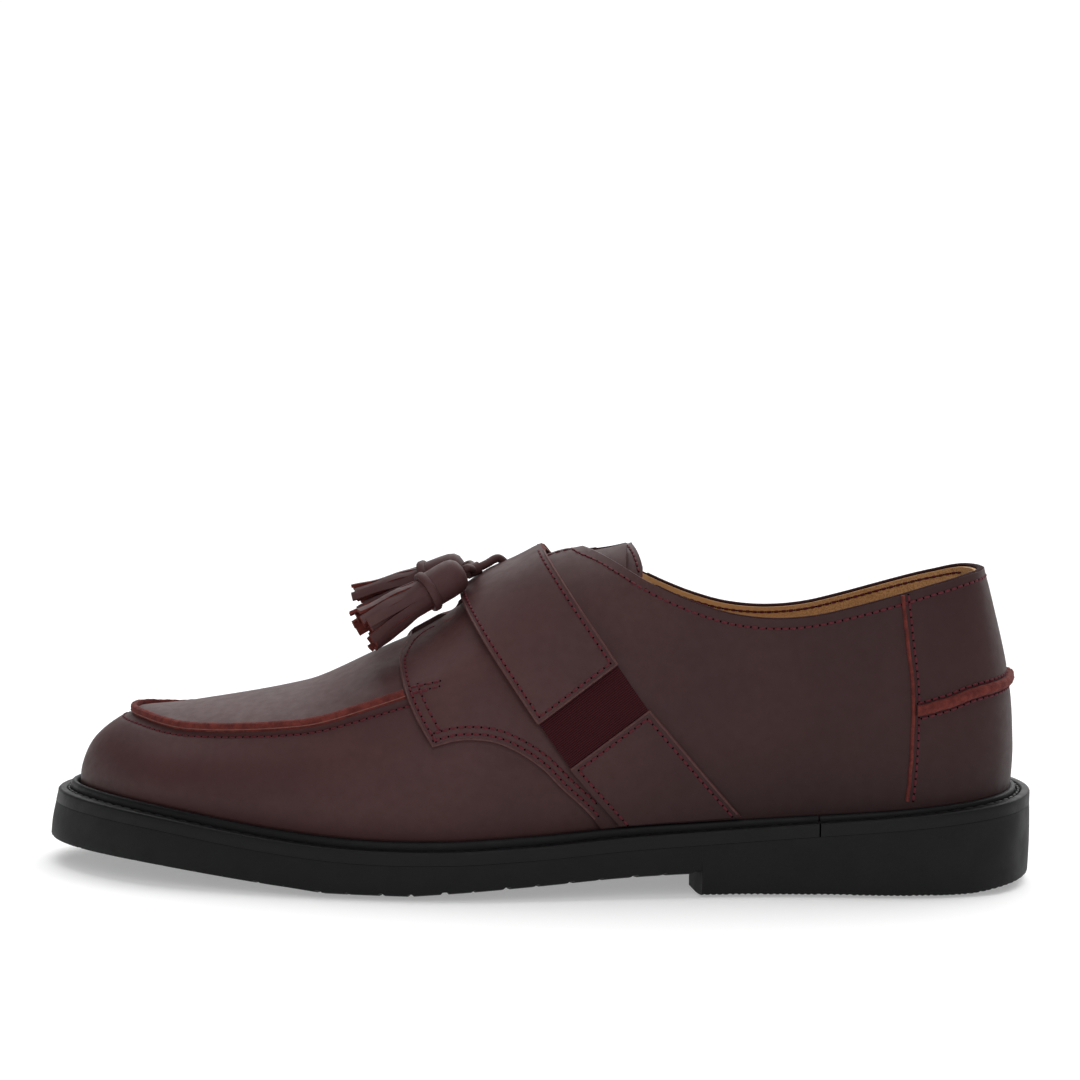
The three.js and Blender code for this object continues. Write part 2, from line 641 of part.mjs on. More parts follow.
root.add(meshOf('outsole', outsole, soleRubber));
root.add(meshOf('welt', welt, weltRubber));
root.add(meshOf('insole', insole, lining));
root.add(meshOf('upper', upper, leather));
root.add(meshOf('tongue', tongue, leather));
root.add(meshOf('strap', strap, leather));
root.add(meshOf('apron_rim', apronRim, rawEdge));
for (const [side, range] of Object.entries(halves)) {
  const elasticRegion = sidePrism(elasticOutline, ...range);
  root.add(meshOf(`elastic_${side}`, skin(overWings, elasticThickness, elasticRegion), webbing));
  const anchorRegion = sidePrism(anchorOutline, ...range).intersect(aboveBead);
  root.add(meshOf(`anchor_${side}`, skin(overWings, anchorThickness, anchorRegion), leather));
  const seamRegion = sidePrism(ribbon('heelSeam', pipingWidth, 10), ...range).subtract(collar);
  root.add(meshOf(`heel_piping_${side}`, skin(overWings, pipingStand, seamRegion), rawEdge));
}
const ridgeRegion = sidePrism(ribbon('heelRidge', ridgeHeight, 8));
root.add(meshOf('heel_ridge', skin(overWings, ridgeStand, ridgeRegion), rawEdge));

for (const [side, place] of Object.entries(tasselPlaces)) {
  root.add(meshOf(`tassel_${side}`, tassel(place), leather));
}
root.add(meshOf('tassel_cord', cord, leather));

export default root;
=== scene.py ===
import math
import bpy
import numpy as np
from mathutils import Matrix, Vector
from mathutils.bvhtree import BVHTree


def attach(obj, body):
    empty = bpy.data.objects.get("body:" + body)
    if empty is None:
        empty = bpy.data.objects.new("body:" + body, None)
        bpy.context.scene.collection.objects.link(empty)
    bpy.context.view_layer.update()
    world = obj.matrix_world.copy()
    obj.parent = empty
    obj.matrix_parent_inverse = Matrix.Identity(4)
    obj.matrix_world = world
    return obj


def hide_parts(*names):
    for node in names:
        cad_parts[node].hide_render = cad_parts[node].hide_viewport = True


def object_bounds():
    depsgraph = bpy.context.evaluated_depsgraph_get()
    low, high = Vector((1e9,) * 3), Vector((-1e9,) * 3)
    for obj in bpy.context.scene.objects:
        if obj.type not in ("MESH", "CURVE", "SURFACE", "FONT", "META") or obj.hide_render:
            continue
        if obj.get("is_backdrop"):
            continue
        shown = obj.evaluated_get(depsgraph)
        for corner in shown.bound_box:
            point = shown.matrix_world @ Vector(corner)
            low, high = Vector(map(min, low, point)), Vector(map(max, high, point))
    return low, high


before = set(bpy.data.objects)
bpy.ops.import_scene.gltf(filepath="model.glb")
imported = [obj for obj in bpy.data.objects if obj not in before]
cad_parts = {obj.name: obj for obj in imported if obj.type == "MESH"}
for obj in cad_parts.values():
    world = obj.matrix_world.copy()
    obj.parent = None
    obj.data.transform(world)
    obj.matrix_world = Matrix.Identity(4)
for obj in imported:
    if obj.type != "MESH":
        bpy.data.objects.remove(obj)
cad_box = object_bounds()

# Camera: it looks at the outer side of the left shoe from a little above, a metre away,
# with the small tilt of the photograph.
mm = 0.001
eye_distance = 1.0
eye_rise = math.radians(5.5)
eye_tilt = math.radians(1.0)
aim = Vector((-0.95, 0, 102.0)) * mm
to_eye = Vector((0, -math.cos(eye_rise), math.sin(eye_rise)))
level_right = (-to_eye).cross(Vector((0, 0, 1))).normalized()
level_up = level_right.cross(-to_eye)
right = math.cos(eye_tilt) * level_right + math.sin(eye_tilt) * level_up
up = math.cos(eye_tilt) * level_up - math.sin(eye_tilt) * level_right
bpy.ops.object.select_all(action="DESELECT")
bpy.ops.object.camera_add()
camera = bpy.context.object
camera.data.sensor_width = 36
camera.data.lens = 108.43
turned = Matrix((right, up, to_eye)).transposed().to_4x4()
camera.matrix_world = Matrix.Translation(aim + eye_distance * to_eye) @ turned
bpy.context.scene.camera = camera

# Studio: a plain white floor under a sky that is white at the horizon and dim overhead, a
# broad soft light from above, and soft lamps in front and behind.
bpy.context.scene.view_settings.view_transform = "Standard"
world = bpy.data.worlds.new("sky")
world.use_nodes = True
sky = world.node_tree
heading = sky.nodes.new("ShaderNodeSeparateXYZ")
rising = sky.nodes.new("ShaderNodeMapRange")
rising.inputs["From Min"].default_value = 0.10
rising.inputs["From Max"].default_value = 0.35
rising.inputs["To Min"].default_value = 1.02
rising.inputs["To Max"].default_value = 0.12
sky.links.new(sky.nodes.new("ShaderNodeTexCoord").outputs["Generated"], heading.inputs[0])
sky.links.new(heading.outputs["Z"], rising.inputs["Value"])
sky.links.new(rising.outputs["Result"], sky.nodes["Background"].inputs["Strength"])
sky.nodes["Background"].inputs["Color"].default_value = (1, 1, 1, 1)
bpy.context.scene.world = world

bpy.ops.object.light_add(type="SUN", rotation=(math.radians(-31), math.radians(13), 0))
overhead = bpy.context.object
overhead.name = "overhead_light"
overhead.data.energy = 3.5
overhead.data.angle = math.radians(80)
lamps = [
    ("front_lamp", (0.05, -1.30, 1.00), 1.2, 8.5),
    ("back_lamp", (-0.20, 0.95, 0.80), 0.9, 1.2),
]
for name, place, size, power in lamps:
    facing = (Vector((-0.04, 0, 0.04)) - Vector(place)).to_track_quat("-Z", "Y").to_euler()
    bpy.ops.object.light_add(type="AREA", location=place, rotation=facing)
    lamp = bpy.context.object
    lamp.name = name
    lamp.data.size = size
    lamp.data.energy = power


class Value:
    """A number or colour that a node gives out, which Python's own operators work on."""

    def __init__(self, finish, socket):
        self.finish = finish
        self.socket = socket

    def __add__(self, other):
        return self.finish.maths("ADD", self, other)

    def __sub__(self, other):
        return self.finish.maths("SUBTRACT", self, other)

    def __rsub__(self, other):
        return self.finish.maths("SUBTRACT", other, self)

    def __mul__(self, other):
        return self.finish.maths("MULTIPLY", self, other)

    __radd__ = __add__
    __rmul__ = __mul__


class Finish:
    """A material round one shader. `node` makes any node: its kind, settings, then sockets."""

    def __init__(self, name, **sockets):
        self.material = bpy.data.materials.new(name)
        self.material.use_nodes = True
        self.tree = self.material.node_tree
        self.shader = self.tree.nodes["Principled BSDF"]
        self.feed(self.shader, {key.replace("_", " "): value for key, value in sockets.items()})

    def feed(self, node, sockets):
        for key, value in sockets.items():
            if isinstance(value, Value):
                self.tree.links.new(value.socket, node.inputs[key])
            else:
                node.inputs[key].default_value = value

    def node(self, kind, settings=None, sockets=None, output=0):
        node = self.tree.nodes.new(kind)
        for key, value in (settings or {}).items():
            setattr(node, key, value)
        self.feed(node, sockets or {})
        return Value(self, node.outputs[output])

    def maths(self, operation, *values):
        return self.node("ShaderNodeMath", {"operation": operation}, dict(enumerate(values)))

    def place(self, stretch=(1, 1, 1), turn=(0, 0, 0)):
        object_place = self.node("ShaderNodeTexCoord", output=3)
        return self.node("ShaderNodeMapping", {},
                         {"Vector": object_place, "Scale": stretch, "Rotation": turn})

    def noise(self, place, size, detail=2.0, rough=0.5):
        return self.node("ShaderNodeTexNoise", {},
                         {"Vector": place, "Scale": 1 / size, "Detail": detail, "Roughness": rough})

    def between(self, value, low, high, first=0.0, last=1.0):
        return self.node("ShaderNodeMapRange", {"interpolation_type": "SMOOTHSTEP"},
                         {"Value": value, "From Min": low, "From Max": high,
                          "To Min": first, "To Max": last})

    def blend(self, share, first, second):
        return self.node("ShaderNodeMix", {"data_type": "RGBA"},
                         {0: share, 6: first, 7: second}, output=2)

    def relief(self, height, strength=1.0):
        bump = self.node("ShaderNodeBump", {},
                         {"Height": height, "Distance": 1.0, "Strength": strength})
        self.feed(self.shader, {"Normal": bump})


floor_paint = Finish("floor_paint", Roughness=0.9, Emission_Color=(1, 1, 1, 1), Emission_Strength=0.32)
floor_cloud = floor_paint.noise(floor_paint.place(), 0.6)
floor_paint.feed(floor_paint.shader, {"Base Color": floor_paint.blend(
    floor_cloud, (0.72, 0.72, 0.72, 1), (0.74, 0.74, 0.74, 1))})
bpy.ops.object.select_all(action="DESELECT")
bpy.ops.mesh.primitive_plane_add(size=12, location=(0, 0, 0))
floor = bpy.context.object
floor.name = "floor"
floor.data.materials.append(floor_paint.material)
floor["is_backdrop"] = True

# Outsole: one moulded unit of black rubber with a block heel. Its side leans in a little
# towards the welt, its tread is crowned, and fine bars cross the tread.
shoe_length = 303 * mm
ball_width = 108 * mm
instep_height = 85 * mm
heel_stack = 28.5 * mm
last_columns = ("turn lateral medial axis rim tread lean foot bulge wall shoulder back "
                "bulge_up wall_up shoulder_up ridge_up crown").split()
last_rows = np.array([
    [0, .056, .056, .056, .786, .20, .020, .083, .088, .119, .181, .056, .082, .184, .280, .280, 2],
    [20, -.157, .250, .051, .785, .20, .014, .081, .081, .112, .176, .046, .085, .184, .279, .299, 2],
    [40, -.352, .398, .042, .737, .17, .004, .067, .056, .090, .167, .028, .094, .182, .279, .340, 2],
    [60, -.468, .481, .032, .572, .04, 0, .065, .044, .076, .157, .005, .118, .247, .374, .474, 2.1],
    [70, -.509, .486, .028, .519, -.025, 0, .065, .043, .074, .162, 0, .135, .306, .470, .604, 2.2],
    [80, -.519, .458, .023, .523, .03, 0, .065, .044, .076, .176, 0, .153, .365, .576, .750, 2.3],
    [90, -.486, .389, .019, .572, .10, 0, .067, .050, .083, .194, 0, .171, .424, .702, .934, 2.5],
    [100, -.435, .329, .009, .649, .17, 0, .070, .057, .089, .194, 0, .188, .471, .812, .984, 2.5],
    [110, -.394, .310, .005, .705, .21, 0, .069, .058, .086, .181, 0, .200, .506, .894, 1.094, 2.5],
    [120, -.370, .324, 0, .765, .25, 0, .068, .058, .084, .160, 0, .206, .524, .938, 1.329, 2.3],
    [140, -.356, .347, 0, .888, .28, 0, .068, .060, .084, .151, 0, .200, .506, .926, 1.353, 2.1],
    [160, -.250, .250, 0, .982, .28, 0, .068, .063, .086, .165, 0, .182, .465, .894, 1.082, 2.1],
    [180, 0, 0, 0, 1.0, .28, 0, .068, .064, .088, .179, 0, .176, .447, .888, .888, 2],
])


def column_value(own, other, turn):
    turns = last_rows[:, 0]
    mine, theirs = (last_rows[:, last_columns.index(column)] for column in (own, other))
    at = np.concatenate([[-turns[1]], turns, [360 - turns[-2]]])
    value = np.concatenate([[theirs[1]], mine, [theirs[-2]]])
    k = np.clip(np.searchsorted(turns, turn, side="right") - 1, 0, len(turns) - 2) + 1
    span = at[k + 1] - at[k]
    t = (turn - at[k]) / span
    slope_from = (value[k + 1] - value[k - 1]) / (at[k + 1] - at[k - 1]) * span
    slope_to = (value[k + 2] - value[k]) / (at[k + 2] - at[k]) * span
    return ((2 * t**3 - 3 * t**2 + 1) * value[k] + (t**3 - 2 * t**2 + t) * slope_from
            + (3 * t**2 - 2 * t**3) * value[k + 1] + (t**3 - t**2) * slope_to)


def last_value(name, theta):
    side = (np.asarray(theta, float) + 180) % 360 - 180
    turn = np.abs(side)
    if name == "across":
        return np.where(side >= 0, column_value("lateral", "medial", turn),
                        column_value("medial", "lateral", turn))
    return column_value(name, name, turn)


def outline(theta):
    x = -shoe_length / 2 * np.cos(np.radians(theta))
    return np.stack([x, ball_width * last_value("across", theta)], -1)


def inward(theta):
    along = outline(theta + 1) - outline(theta - 1)
    along /= np.linalg.norm(along, axis=-1, keepdims=True)
    return np.stack([-along[..., 1], along[..., 0]], -1)


def rim_height(theta):
    return heel_stack * last_value("rim", theta)


def turn_at(x):
    return np.degrees(np.arccos(np.clip(-2 * np.asarray(x) / shoe_length, -1, 1)))


def even_turns(first, last, step):
    fine = np.linspace(first, last, 3000)
    gaps = np.linalg.norm(np.diff(outline(fine), axis=0), axis=1)
    run = np.concatenate([[0], np.cumsum(gaps)])
    return np.interp(np.linspace(0, run[-1], max(2, round(run[-1] / step) + 1)), run, fine)


def both_sides(turns):
    return np.concatenate([turns, -turns[-2:0:-1], turns[:1]])


def laid_grid(name, places, finish, merge=1e-6, turn_out=True):
    """A grid whose vertices are put at places, rows x columns x 3, with its doubles merged."""
    rows, columns = places.shape[:2]
    bpy.ops.object.select_all(action="DESELECT")
    bpy.ops.mesh.primitive_grid_add(x_subdivisions=columns - 1, y_subdivisions=rows - 1, size=1)
    piece = bpy.context.object
    piece.name = piece.data.name = name
    piece.data.vertices.foreach_set("co", np.asarray(places, float).reshape(-1))
    bpy.ops.object.mode_set(mode="EDIT")
    bpy.ops.mesh.select_all(action="SELECT")
    bpy.ops.mesh.remove_doubles(threshold=merge)
    bpy.ops.object.mode_set(mode="OBJECT")
    middle = sum((v.co for v in piece.data.vertices), Vector()) / len(piece.data.vertices)
    if turn_out and sum(f.normal.dot(f.center - middle) * f.area for f in piece.data.polygons) < 0:
        piece.data.flip_normals()
    piece.data.materials.append(finish.material)
    return piece


def modify(piece, kind, **settings):
    modifier = piece.modifiers.new(kind.lower(), kind)
    for key, value in settings.items():
        setattr(modifier, key, value)
    bpy.ops.object.select_all(action="DESELECT")
    piece.select_set(True)
    bpy.context.view_layer.objects.active = piece
    bpy.ops.object.modifier_apply(modifier=modifier.name)


def smooth(piece, angle=35):
    bpy.ops.object.select_all(action="DESELECT")
    piece.select_set(True)
    bpy.context.view_layer.objects.active = piece
    bpy.ops.object.shade_smooth_by_angle(angle=math.radians(angle))


def hand_over(piece, slot, *nodes):
    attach(piece, "root")
    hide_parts(*nodes)


def ring_level(turns, inset, height):
    edge = outline(turns) + inward(turns) * np.broadcast_to(inset, turns.shape)[:, None]
    return np.concatenate([edge, np.broadcast_to(height, turns.shape)[:, None]], 1)


def middle_level(turns, height):
    x, y = outline(turns).T
    other = outline(-turns)[:, 1]
    return np.stack([x, (y + other) / 2, np.broadcast_to(height, turns.shape)], 1)


def step_up(value, low, high):
    t = np.clip((value - low) / (high - low), 0, 1)
    return t * t * (3 - 2 * t)


sole_rubber = Finish("black_sole_rubber", Roughness=0.6, Specular_IOR_Level=0.16)
rubber_place = sole_rubber.place()
rubber_haze = sole_rubber.noise(rubber_place, 9 * mm, 4)
rubber_grain = sole_rubber.noise(rubber_place, 0.5 * mm, 2)
sole_rubber.feed(sole_rubber.shader, {
    "Base Color": sole_rubber.blend(rubber_haze, (0.0030, 0.0030, 0.0032, 1), (0.0060, 0.0060, 0.0064, 1)),
    "Roughness": sole_rubber.between(rubber_haze, 0.3, 0.7, 0.54, 0.66)})
sole_rubber.relief(rubber_grain * 0.00003)

breast = 49 * mm
plateau = 14.3 * mm
side_lean = 0.7
sole_turns = np.sort(np.concatenate([even_turns(0, 180, 0.62 * mm),
                                     turn_at(breast) + np.array([-0.02, 0.0])]))
sole_ring = both_sides(sole_turns)
ring_x = outline(sole_ring)[:, 0]
on_heel = ring_x > breast - 0.02 * mm
tread = np.maximum(0, heel_stack * last_value("tread", sole_ring))
heel_tread = 2.2 * mm * step_up(ring_x, 278 * mm - shoe_length / 2, shoe_length / 2)
bottom = np.where(on_heel, heel_tread, tread)
crown = np.where(on_heel, 0.8 * mm, 1.6 * mm)
heel_bars = 0.26 * mm * (np.sin(ring_x * 2 * math.pi / (1.9 * mm)) > 0.1)
front_bars = 0.6 * mm * ((ring_x + 0.7 * mm * np.sin(ring_x / mm)) % (9.4 * mm) < 1.4 * mm)
bars = np.where(on_heel, heel_bars, front_bars)
joint = rim_height(sole_ring) - 4.0 * mm
lean = ball_width * last_value("lean", sole_ring)
edge_low = bottom + crown
levels = [
    middle_level(sole_ring, bottom),
    ring_level(sole_ring, 20 * mm, bottom),
    ring_level(sole_ring, 12 * mm, bottom + bars),
    ring_level(sole_ring, 9 * mm, bottom + bars),
    ring_level(sole_ring, 4.6 * mm, bottom + 0.42 * crown + bars),
    ring_level(sole_ring, 1.2 * mm, edge_low - 0.06 * mm + bars),
    ring_level(sole_ring, 0.45 * mm, edge_low + 0.12 * mm + bars),
    ring_level(sole_ring, 0.12 * mm, edge_low + 0.42 * mm + bars * 0.5),
    ring_level(sole_ring, 0, edge_low + 0.9 * mm),
]
for share in (0.2, 0.4, 0.6, 0.8, 0.94):
    levels.append(ring_level(sole_ring, side_lean * lean * share - 0.25 * mm * math.sin(math.pi * share),
                             edge_low + 0.9 * mm + (joint - 0.3 * mm - edge_low - 0.9 * mm) * share))
levels += [
    ring_level(sole_ring, side_lean * lean + 0.02 * mm, joint - 0.14 * mm),
    ring_level(sole_ring, side_lean * lean + 0.12 * mm, joint - 0.04 * mm),
    ring_level(sole_ring, plateau, joint - 0.04 * mm),
    ring_level(sole_ring, plateau, rim_height(sole_ring) - 1.2 * mm),
    middle_level(sole_ring, rim_height(sole_ring) - 1.2 * mm),
]
outsole = laid_grid("outsole_unit", np.array(levels), sole_rubber, 2e-6)
smooth(outsole, 32)
hand_over(outsole, "sole_rubber", "outsole")

# Welt: a black rubber strip stitched round the sole. It has a channel for the thread and a
# rounded, glossier bead that covers the foot of the upper, and it is butted on the outer side.
welt_rubber = Finish("black_welt_rubber", Roughness=0.5, Specular_IOR_Level=0.16)
welt_place = welt_rubber.place()
welt_haze = welt_rubber.noise(welt_place, 6 * mm, 4)
welt_rubber.feed(welt_rubber.shader, {
    "Base Color": welt_rubber.blend(welt_haze, (0.0028, 0.0028, 0.003, 1), (0.006, 0.006, 0.0065, 1)),
    "Roughness": welt_rubber.between(welt_haze, 0.3, 0.7, 0.46, 0.58)})
welt_rubber.relief(welt_rubber.noise(welt_place, 0.7 * mm, 3) * 0.00004)

bead_width = 2.2 * mm
bead_height = 2.3 * mm
channel_depth = 1.0 * mm
welt_ring = both_sides(even_turns(0, 180, 1.4 * mm))
welt_x = outline(welt_ring)[:, 0]
rim = rim_height(welt_ring)
low = rim - 4.0 * mm
lean = ball_width * last_value("lean", welt_ring)
bead_share = 1 - 0.5 * step_up(welt_x, 0, shoe_length / 2)
bead_back = ball_width * last_value("foot", welt_ring) - 0.75 * mm
bead_middle = bead_back - bead_width / 2
levels = [
    ring_level(welt_ring, side_lean * lean, low),
    ring_level(welt_ring, 14 * mm, low),
    ring_level(welt_ring, 14 * mm, rim - 0.3 * mm),
    ring_level(welt_ring, bead_back, rim - 0.3 * mm),
]
for angle in range(0, 181, 20):
    reach = bead_width / 2 * math.cos(math.radians(angle))
    rise = math.sin(math.radians(angle)) ** 0.8
    levels.append(ring_level(welt_ring, bead_middle + reach,
                             rim + bead_height * bead_share * (0.25 + 0.75 * rise)))
channel_in = bead_back - bead_width
channel_out = 2.8 * mm + lean
levels += [
    ring_level(welt_ring, channel_in, rim - channel_depth + 0.3 * mm),
    ring_level(welt_ring, channel_in - 0.3 * mm, rim - channel_depth),
    ring_level(welt_ring, channel_out + 0.3 * mm, rim - channel_depth),
    ring_level(welt_ring, channel_out, rim - channel_depth + 0.3 * mm),
    ring_level(welt_ring, channel_out - 0.1 * mm, rim - 0.25 * mm),
    ring_level(welt_ring, channel_out - 0.4 * mm, rim),
]
for angle in (90, 70, 50, 30, 10):
    corner = math.radians(angle)
    levels.append(ring_level(welt_ring, lean + 0.9 * mm * (1 - math.cos(corner)),
                             rim - 0.9 * mm * (1 - math.sin(corner))))
levels.append(ring_level(welt_ring, lean * 0.85, rim - 2.4 * mm))
levels.append(ring_level(welt_ring, side_lean * lean + 0.01 * mm, low + 0.12 * mm))
levels.append(levels[0])
welt = laid_grid("welt_strip", np.array(levels), welt_rubber)


def prism(name, corners, sweep, finish):
    """A solid cutter: a flat outline swept along a straight line."""
    bpy.ops.object.select_all(action="DESELECT")
    bpy.ops.mesh.primitive_circle_add(vertices=len(corners), fill_type="NGON")
    piece = bpy.context.object
    piece.name = name
    piece.data.vertices.foreach_set("co", np.asarray(corners, float).reshape(-1))
    bpy.ops.object.mode_set(mode="EDIT")
    bpy.ops.mesh.select_all(action="SELECT")
    bpy.ops.mesh.extrude_region_move(TRANSFORM_OT_translate={"value": tuple(sweep)})
    bpy.ops.mesh.select_all(action="SELECT")
    bpy.ops.mesh.normals_make_consistent(inside=False)
    bpy.ops.object.mode_set(mode="OBJECT")
    piece.data.materials.append(finish.material)
    return piece


def side_prism(corners, finish, y_from=-ball_width, y_to=ball_width, tilt=0.0):
    near = np.array([[x, y_from, z - tilt * y_from] for x, z in corners])
    return prism("cutter", near, (0, y_to - y_from, -tilt * (y_to - y_from)), finish)


def plan_prism(corners, finish, z_from, z_to):
    return prism("cutter", np.array([[x, y, z_from] for x, y in corners]), (0, 0, z_to - z_from), finish)


def cut(piece, cutter, operation):
    modify(piece, "BOOLEAN", object=cutter, operation=operation, solver="EXACT", material_mode="TRANSFER")
    bpy.data.objects.remove(cutter)


slit_x = 84 * mm - 0 * mm
slit_half = 0.25 * mm
cut(welt, side_prism([(slit_x - slit_half, 0), (slit_x + slit_half, 0), (slit_x + slit_half, 60 * mm),
                      (slit_x - slit_half, 60 * mm)], welt_rubber, -ball_width, 0), "DIFFERENCE")
smooth(welt, 32)
hand_over(welt, "welt_rubber", "welt")


def bead_shape(name, finish, length, thick, flat=1.0, sides=6, rings=5):
    """One rounded stitch along X, as vertices and faces."""
    bpy.ops.object.select_all(action="DESELECT")
    bpy.ops.mesh.primitive_uv_sphere_add(segments=sides, ring_count=rings, radius=1)
    one = bpy.context.object
    points = np.array([v.co[:] for v in one.data.vertices])[:, [2, 0, 1]]
    faces = [list(f.vertices) for f in one.data.polygons]
    points[:, 0] = np.sign(points[:, 0]) * np.abs(points[:, 0]) ** 0.8
    bpy.data.objects.remove(one)
    return points * np.array([length / 2, thick / 2, thick / 2 * flat]), faces


def strewn(name, shape, places, alongs, normals, finish, smooth_angle=80):
    """Copies of one small shape, each laid along its own direction, joined into one piece."""
    points, faces = shape
    x = alongs / np.linalg.norm(alongs, axis=1, keepdims=True)
    y = np.cross(normals, x)
    y /= np.linalg.norm(y, axis=1, keepdims=True)
    z = np.cross(x, y)
    turned_points = (points[None, :, 0, None] * x[:, None] + points[None, :, 1, None] * y[:, None]
                     + points[None, :, 2, None] * z[:, None] + places[:, None])
    count = len(points)
    mesh = bpy.data.meshes.new(name)
    mesh.from_pydata(turned_points.reshape(-1, 3).tolist(), [],
                     [[v + n * count for v in face] for n in range(len(places)) for face in faces])
    piece = bpy.data.objects.new(name, mesh)
    bpy.context.scene.collection.objects.link(piece)
    mesh.materials.append(finish.material)
    smooth(piece, smooth_angle)
    return piece


thread_ring = even_turns(0, 360, 4.3 * mm)[:-1]
thread_lean = ball_width * last_value("lean", thread_ring)
thread_inset = (2.8 * mm + thread_lean + ball_width * last_value("foot", thread_ring) - 0.75 * mm - bead_width) / 2
thread_places = ring_level(thread_ring, thread_inset, rim_height(thread_ring) - channel_depth + 0.42 * mm)
thread_alongs = (ring_level(thread_ring + 0.5, thread_inset, rim_height(thread_ring + 0.5))
                 - ring_level(thread_ring - 0.5, thread_inset, rim_height(thread_ring - 0.5)))
welt_thread = strewn("welt_thread", bead_shape("lump", welt_rubber, 3.9 * mm, 1.15 * mm, 1.0, 8, 7),
                     thread_places, thread_alongs, np.tile([0.0, 0.0, 1.0], (len(thread_ring), 1)), welt_rubber)
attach(welt_thread, "root")

# Insole: a tan leather sock glued over a shaped board, a little dished towards its middle.
tan_leather = Finish("tan_lining_leather", Roughness=0.6)
tan_place = tan_leather.place()
tan_cloud = tan_leather.noise(tan_place, 14 * mm, 4)
tan_nap = tan_leather.noise(tan_place, 0.45 * mm, 3)
towards_heel = tan_leather.between(
    tan_leather.node("ShaderNodeSeparateXYZ", {}, {"Vector": tan_place}), 50 * mm, 95 * mm)
tan_base = tan_leather.blend(tan_cloud, (0.47, 0.25, 0.10, 1), (0.62, 0.37, 0.17, 1))
tan_leather.feed(tan_leather.shader, {
    "Base Color": tan_leather.blend(tan_leather.between(tan_nap, 0.35, 0.7) * towards_heel * 0.8,
                                    tan_base, (0.27, 0.13, 0.045, 1)),
    "Roughness": tan_leather.maths("ADD", 0.5, towards_heel * 0.35)})
tan_leather.relief(tan_nap * (towards_heel * 0.0001 + 0.00003))

sock_ring = both_sides(even_turns(0, 180, 4 * mm))
sock_inset = ball_width * last_value("foot", sock_ring) + 3.0 * mm
sock_rim = rim_height(sock_ring)
sock_top = sock_rim + 3.2 * mm
sock_middle = middle_level(sock_ring, sock_rim) * np.array([0.85, 1, 1])
levels = [
    sock_middle + np.array([0, 0, 0.3 * mm]),
    ring_level(sock_ring, sock_inset, sock_rim + 0.3 * mm),
    ring_level(sock_ring, sock_inset, sock_top - 0.4 * mm),
    ring_level(sock_ring, sock_inset + 0.4 * mm, sock_top),
    ring_level(sock_ring, sock_inset + 4 * mm, sock_top - 0.1 * mm),
    ring_level(sock_ring, sock_inset + 10 * mm, sock_top - 0.6 * mm),
    sock_middle + np.array([0, 0, 2.3 * mm]),
]
insole = laid_grid("insole_sock", np.array(levels), tan_leather)
smooth(insole, 40)
hand_over(insole, "lining", "insole")

# Vamp and plug: the burgundy leather over the toe, pulled over the last in one piece. It is
# smooth and matt, with a fine grain and a faint grey bloom where the light strikes it.
leather = Finish("burgundy_leather", Roughness=0.56, Specular_IOR_Level=0.2)
leather_place = leather.place()
tone = leather.noise(leather_place, 38 * mm, 3, 0.55)
mottle = leather.noise(leather_place, 3.2 * mm, 4, 0.6)
grain = leather.noise(leather_place, 0.42 * mm, 3, 0.6)
specks = leather.between(leather.noise(leather_place, 1.1 * mm, 1), 0.74, 0.80)
# Painted shade: the colour is darkened towards the heel and downwards towards the welt, to stand for the shade that
# falls there.
back_shade_paint = leather.between(
    leather.node("ShaderNodeSeparateXYZ", {}, {"Vector": leather_place}), -45 * mm, 90 * mm)
low_shade_paint = leather.between(
    leather.node("ShaderNodeSeparateXYZ", {}, {"Vector": leather_place}, 2), 18 * mm, 56 * mm, 1.0, 0.0)
warm = leather.blend(leather.between(tone, 0.3, 0.7), (0.054, 0.0215, 0.0220, 1), (0.068, 0.0280, 0.0270, 1))
mottled = leather.blend(leather.between(mottle, 0.3, 0.75) * 0.2, warm, (0.034, 0.0110, 0.0115, 1))
painted_shade_mix = leather.blend(back_shade_paint * 0.6 + low_shade_paint * 0.36, mottled, (0.014, 0.0030, 0.0034, 1))
leather.feed(leather.shader, {
    "Base Color": leather.blend(specks * 0.2, painted_shade_mix, (0.06, 0.03, 0.028, 1)),
    "Roughness": leather.between(mottle, 0.2, 0.8, 0.52, 0.62)})
leather.relief(grain * 0.000022 + mottle * 0.00002)

raw_edge = Finish("raw_leather_edge", Roughness=0.85, Specular_IOR_Level=0.2)
edge_place = raw_edge.place()
edge_cloud = raw_edge.noise(edge_place, 2.5 * mm, 4, 0.65)
edge_fibre = raw_edge.noise(edge_place, 0.35 * mm, 3, 0.7)
raw_edge.feed(raw_edge.shader, {
    "Base Color": raw_edge.blend(raw_edge.between(edge_cloud, 0.3, 0.7), (0.070, 0.012, 0.010, 1),
                                 (0.135, 0.026, 0.020, 1)),
    "Roughness": raw_edge.between(edge_fibre, 0.3, 0.7, 0.75, 0.95)})
raw_edge.relief(edge_fibre * 0.00018 + edge_cloud * 0.0002)


def spline(points, pieces):
    """Points of the curve that runs through `points` with even steps from each to the next."""
    points = np.asarray(points, float)
    t = np.linspace(0, len(points) - 1, pieces + 1)
    k = np.minimum(t.astype(int), len(points) - 2)
    w = (t - k)[:, None]
    before, after = points[np.maximum(k - 1, 0)], points[np.minimum(k + 2, len(points) - 1)]
    a, b = points[k], points[k + 1]
    slope_a, slope_b = (b - before) / 2, (after - a) / 2
    return ((2 * a - 2 * b + slope_a + slope_b) * w**3
            + (3 * b - 3 * a - 2 * slope_a - slope_b) * w**2 + slope_a * w + a)


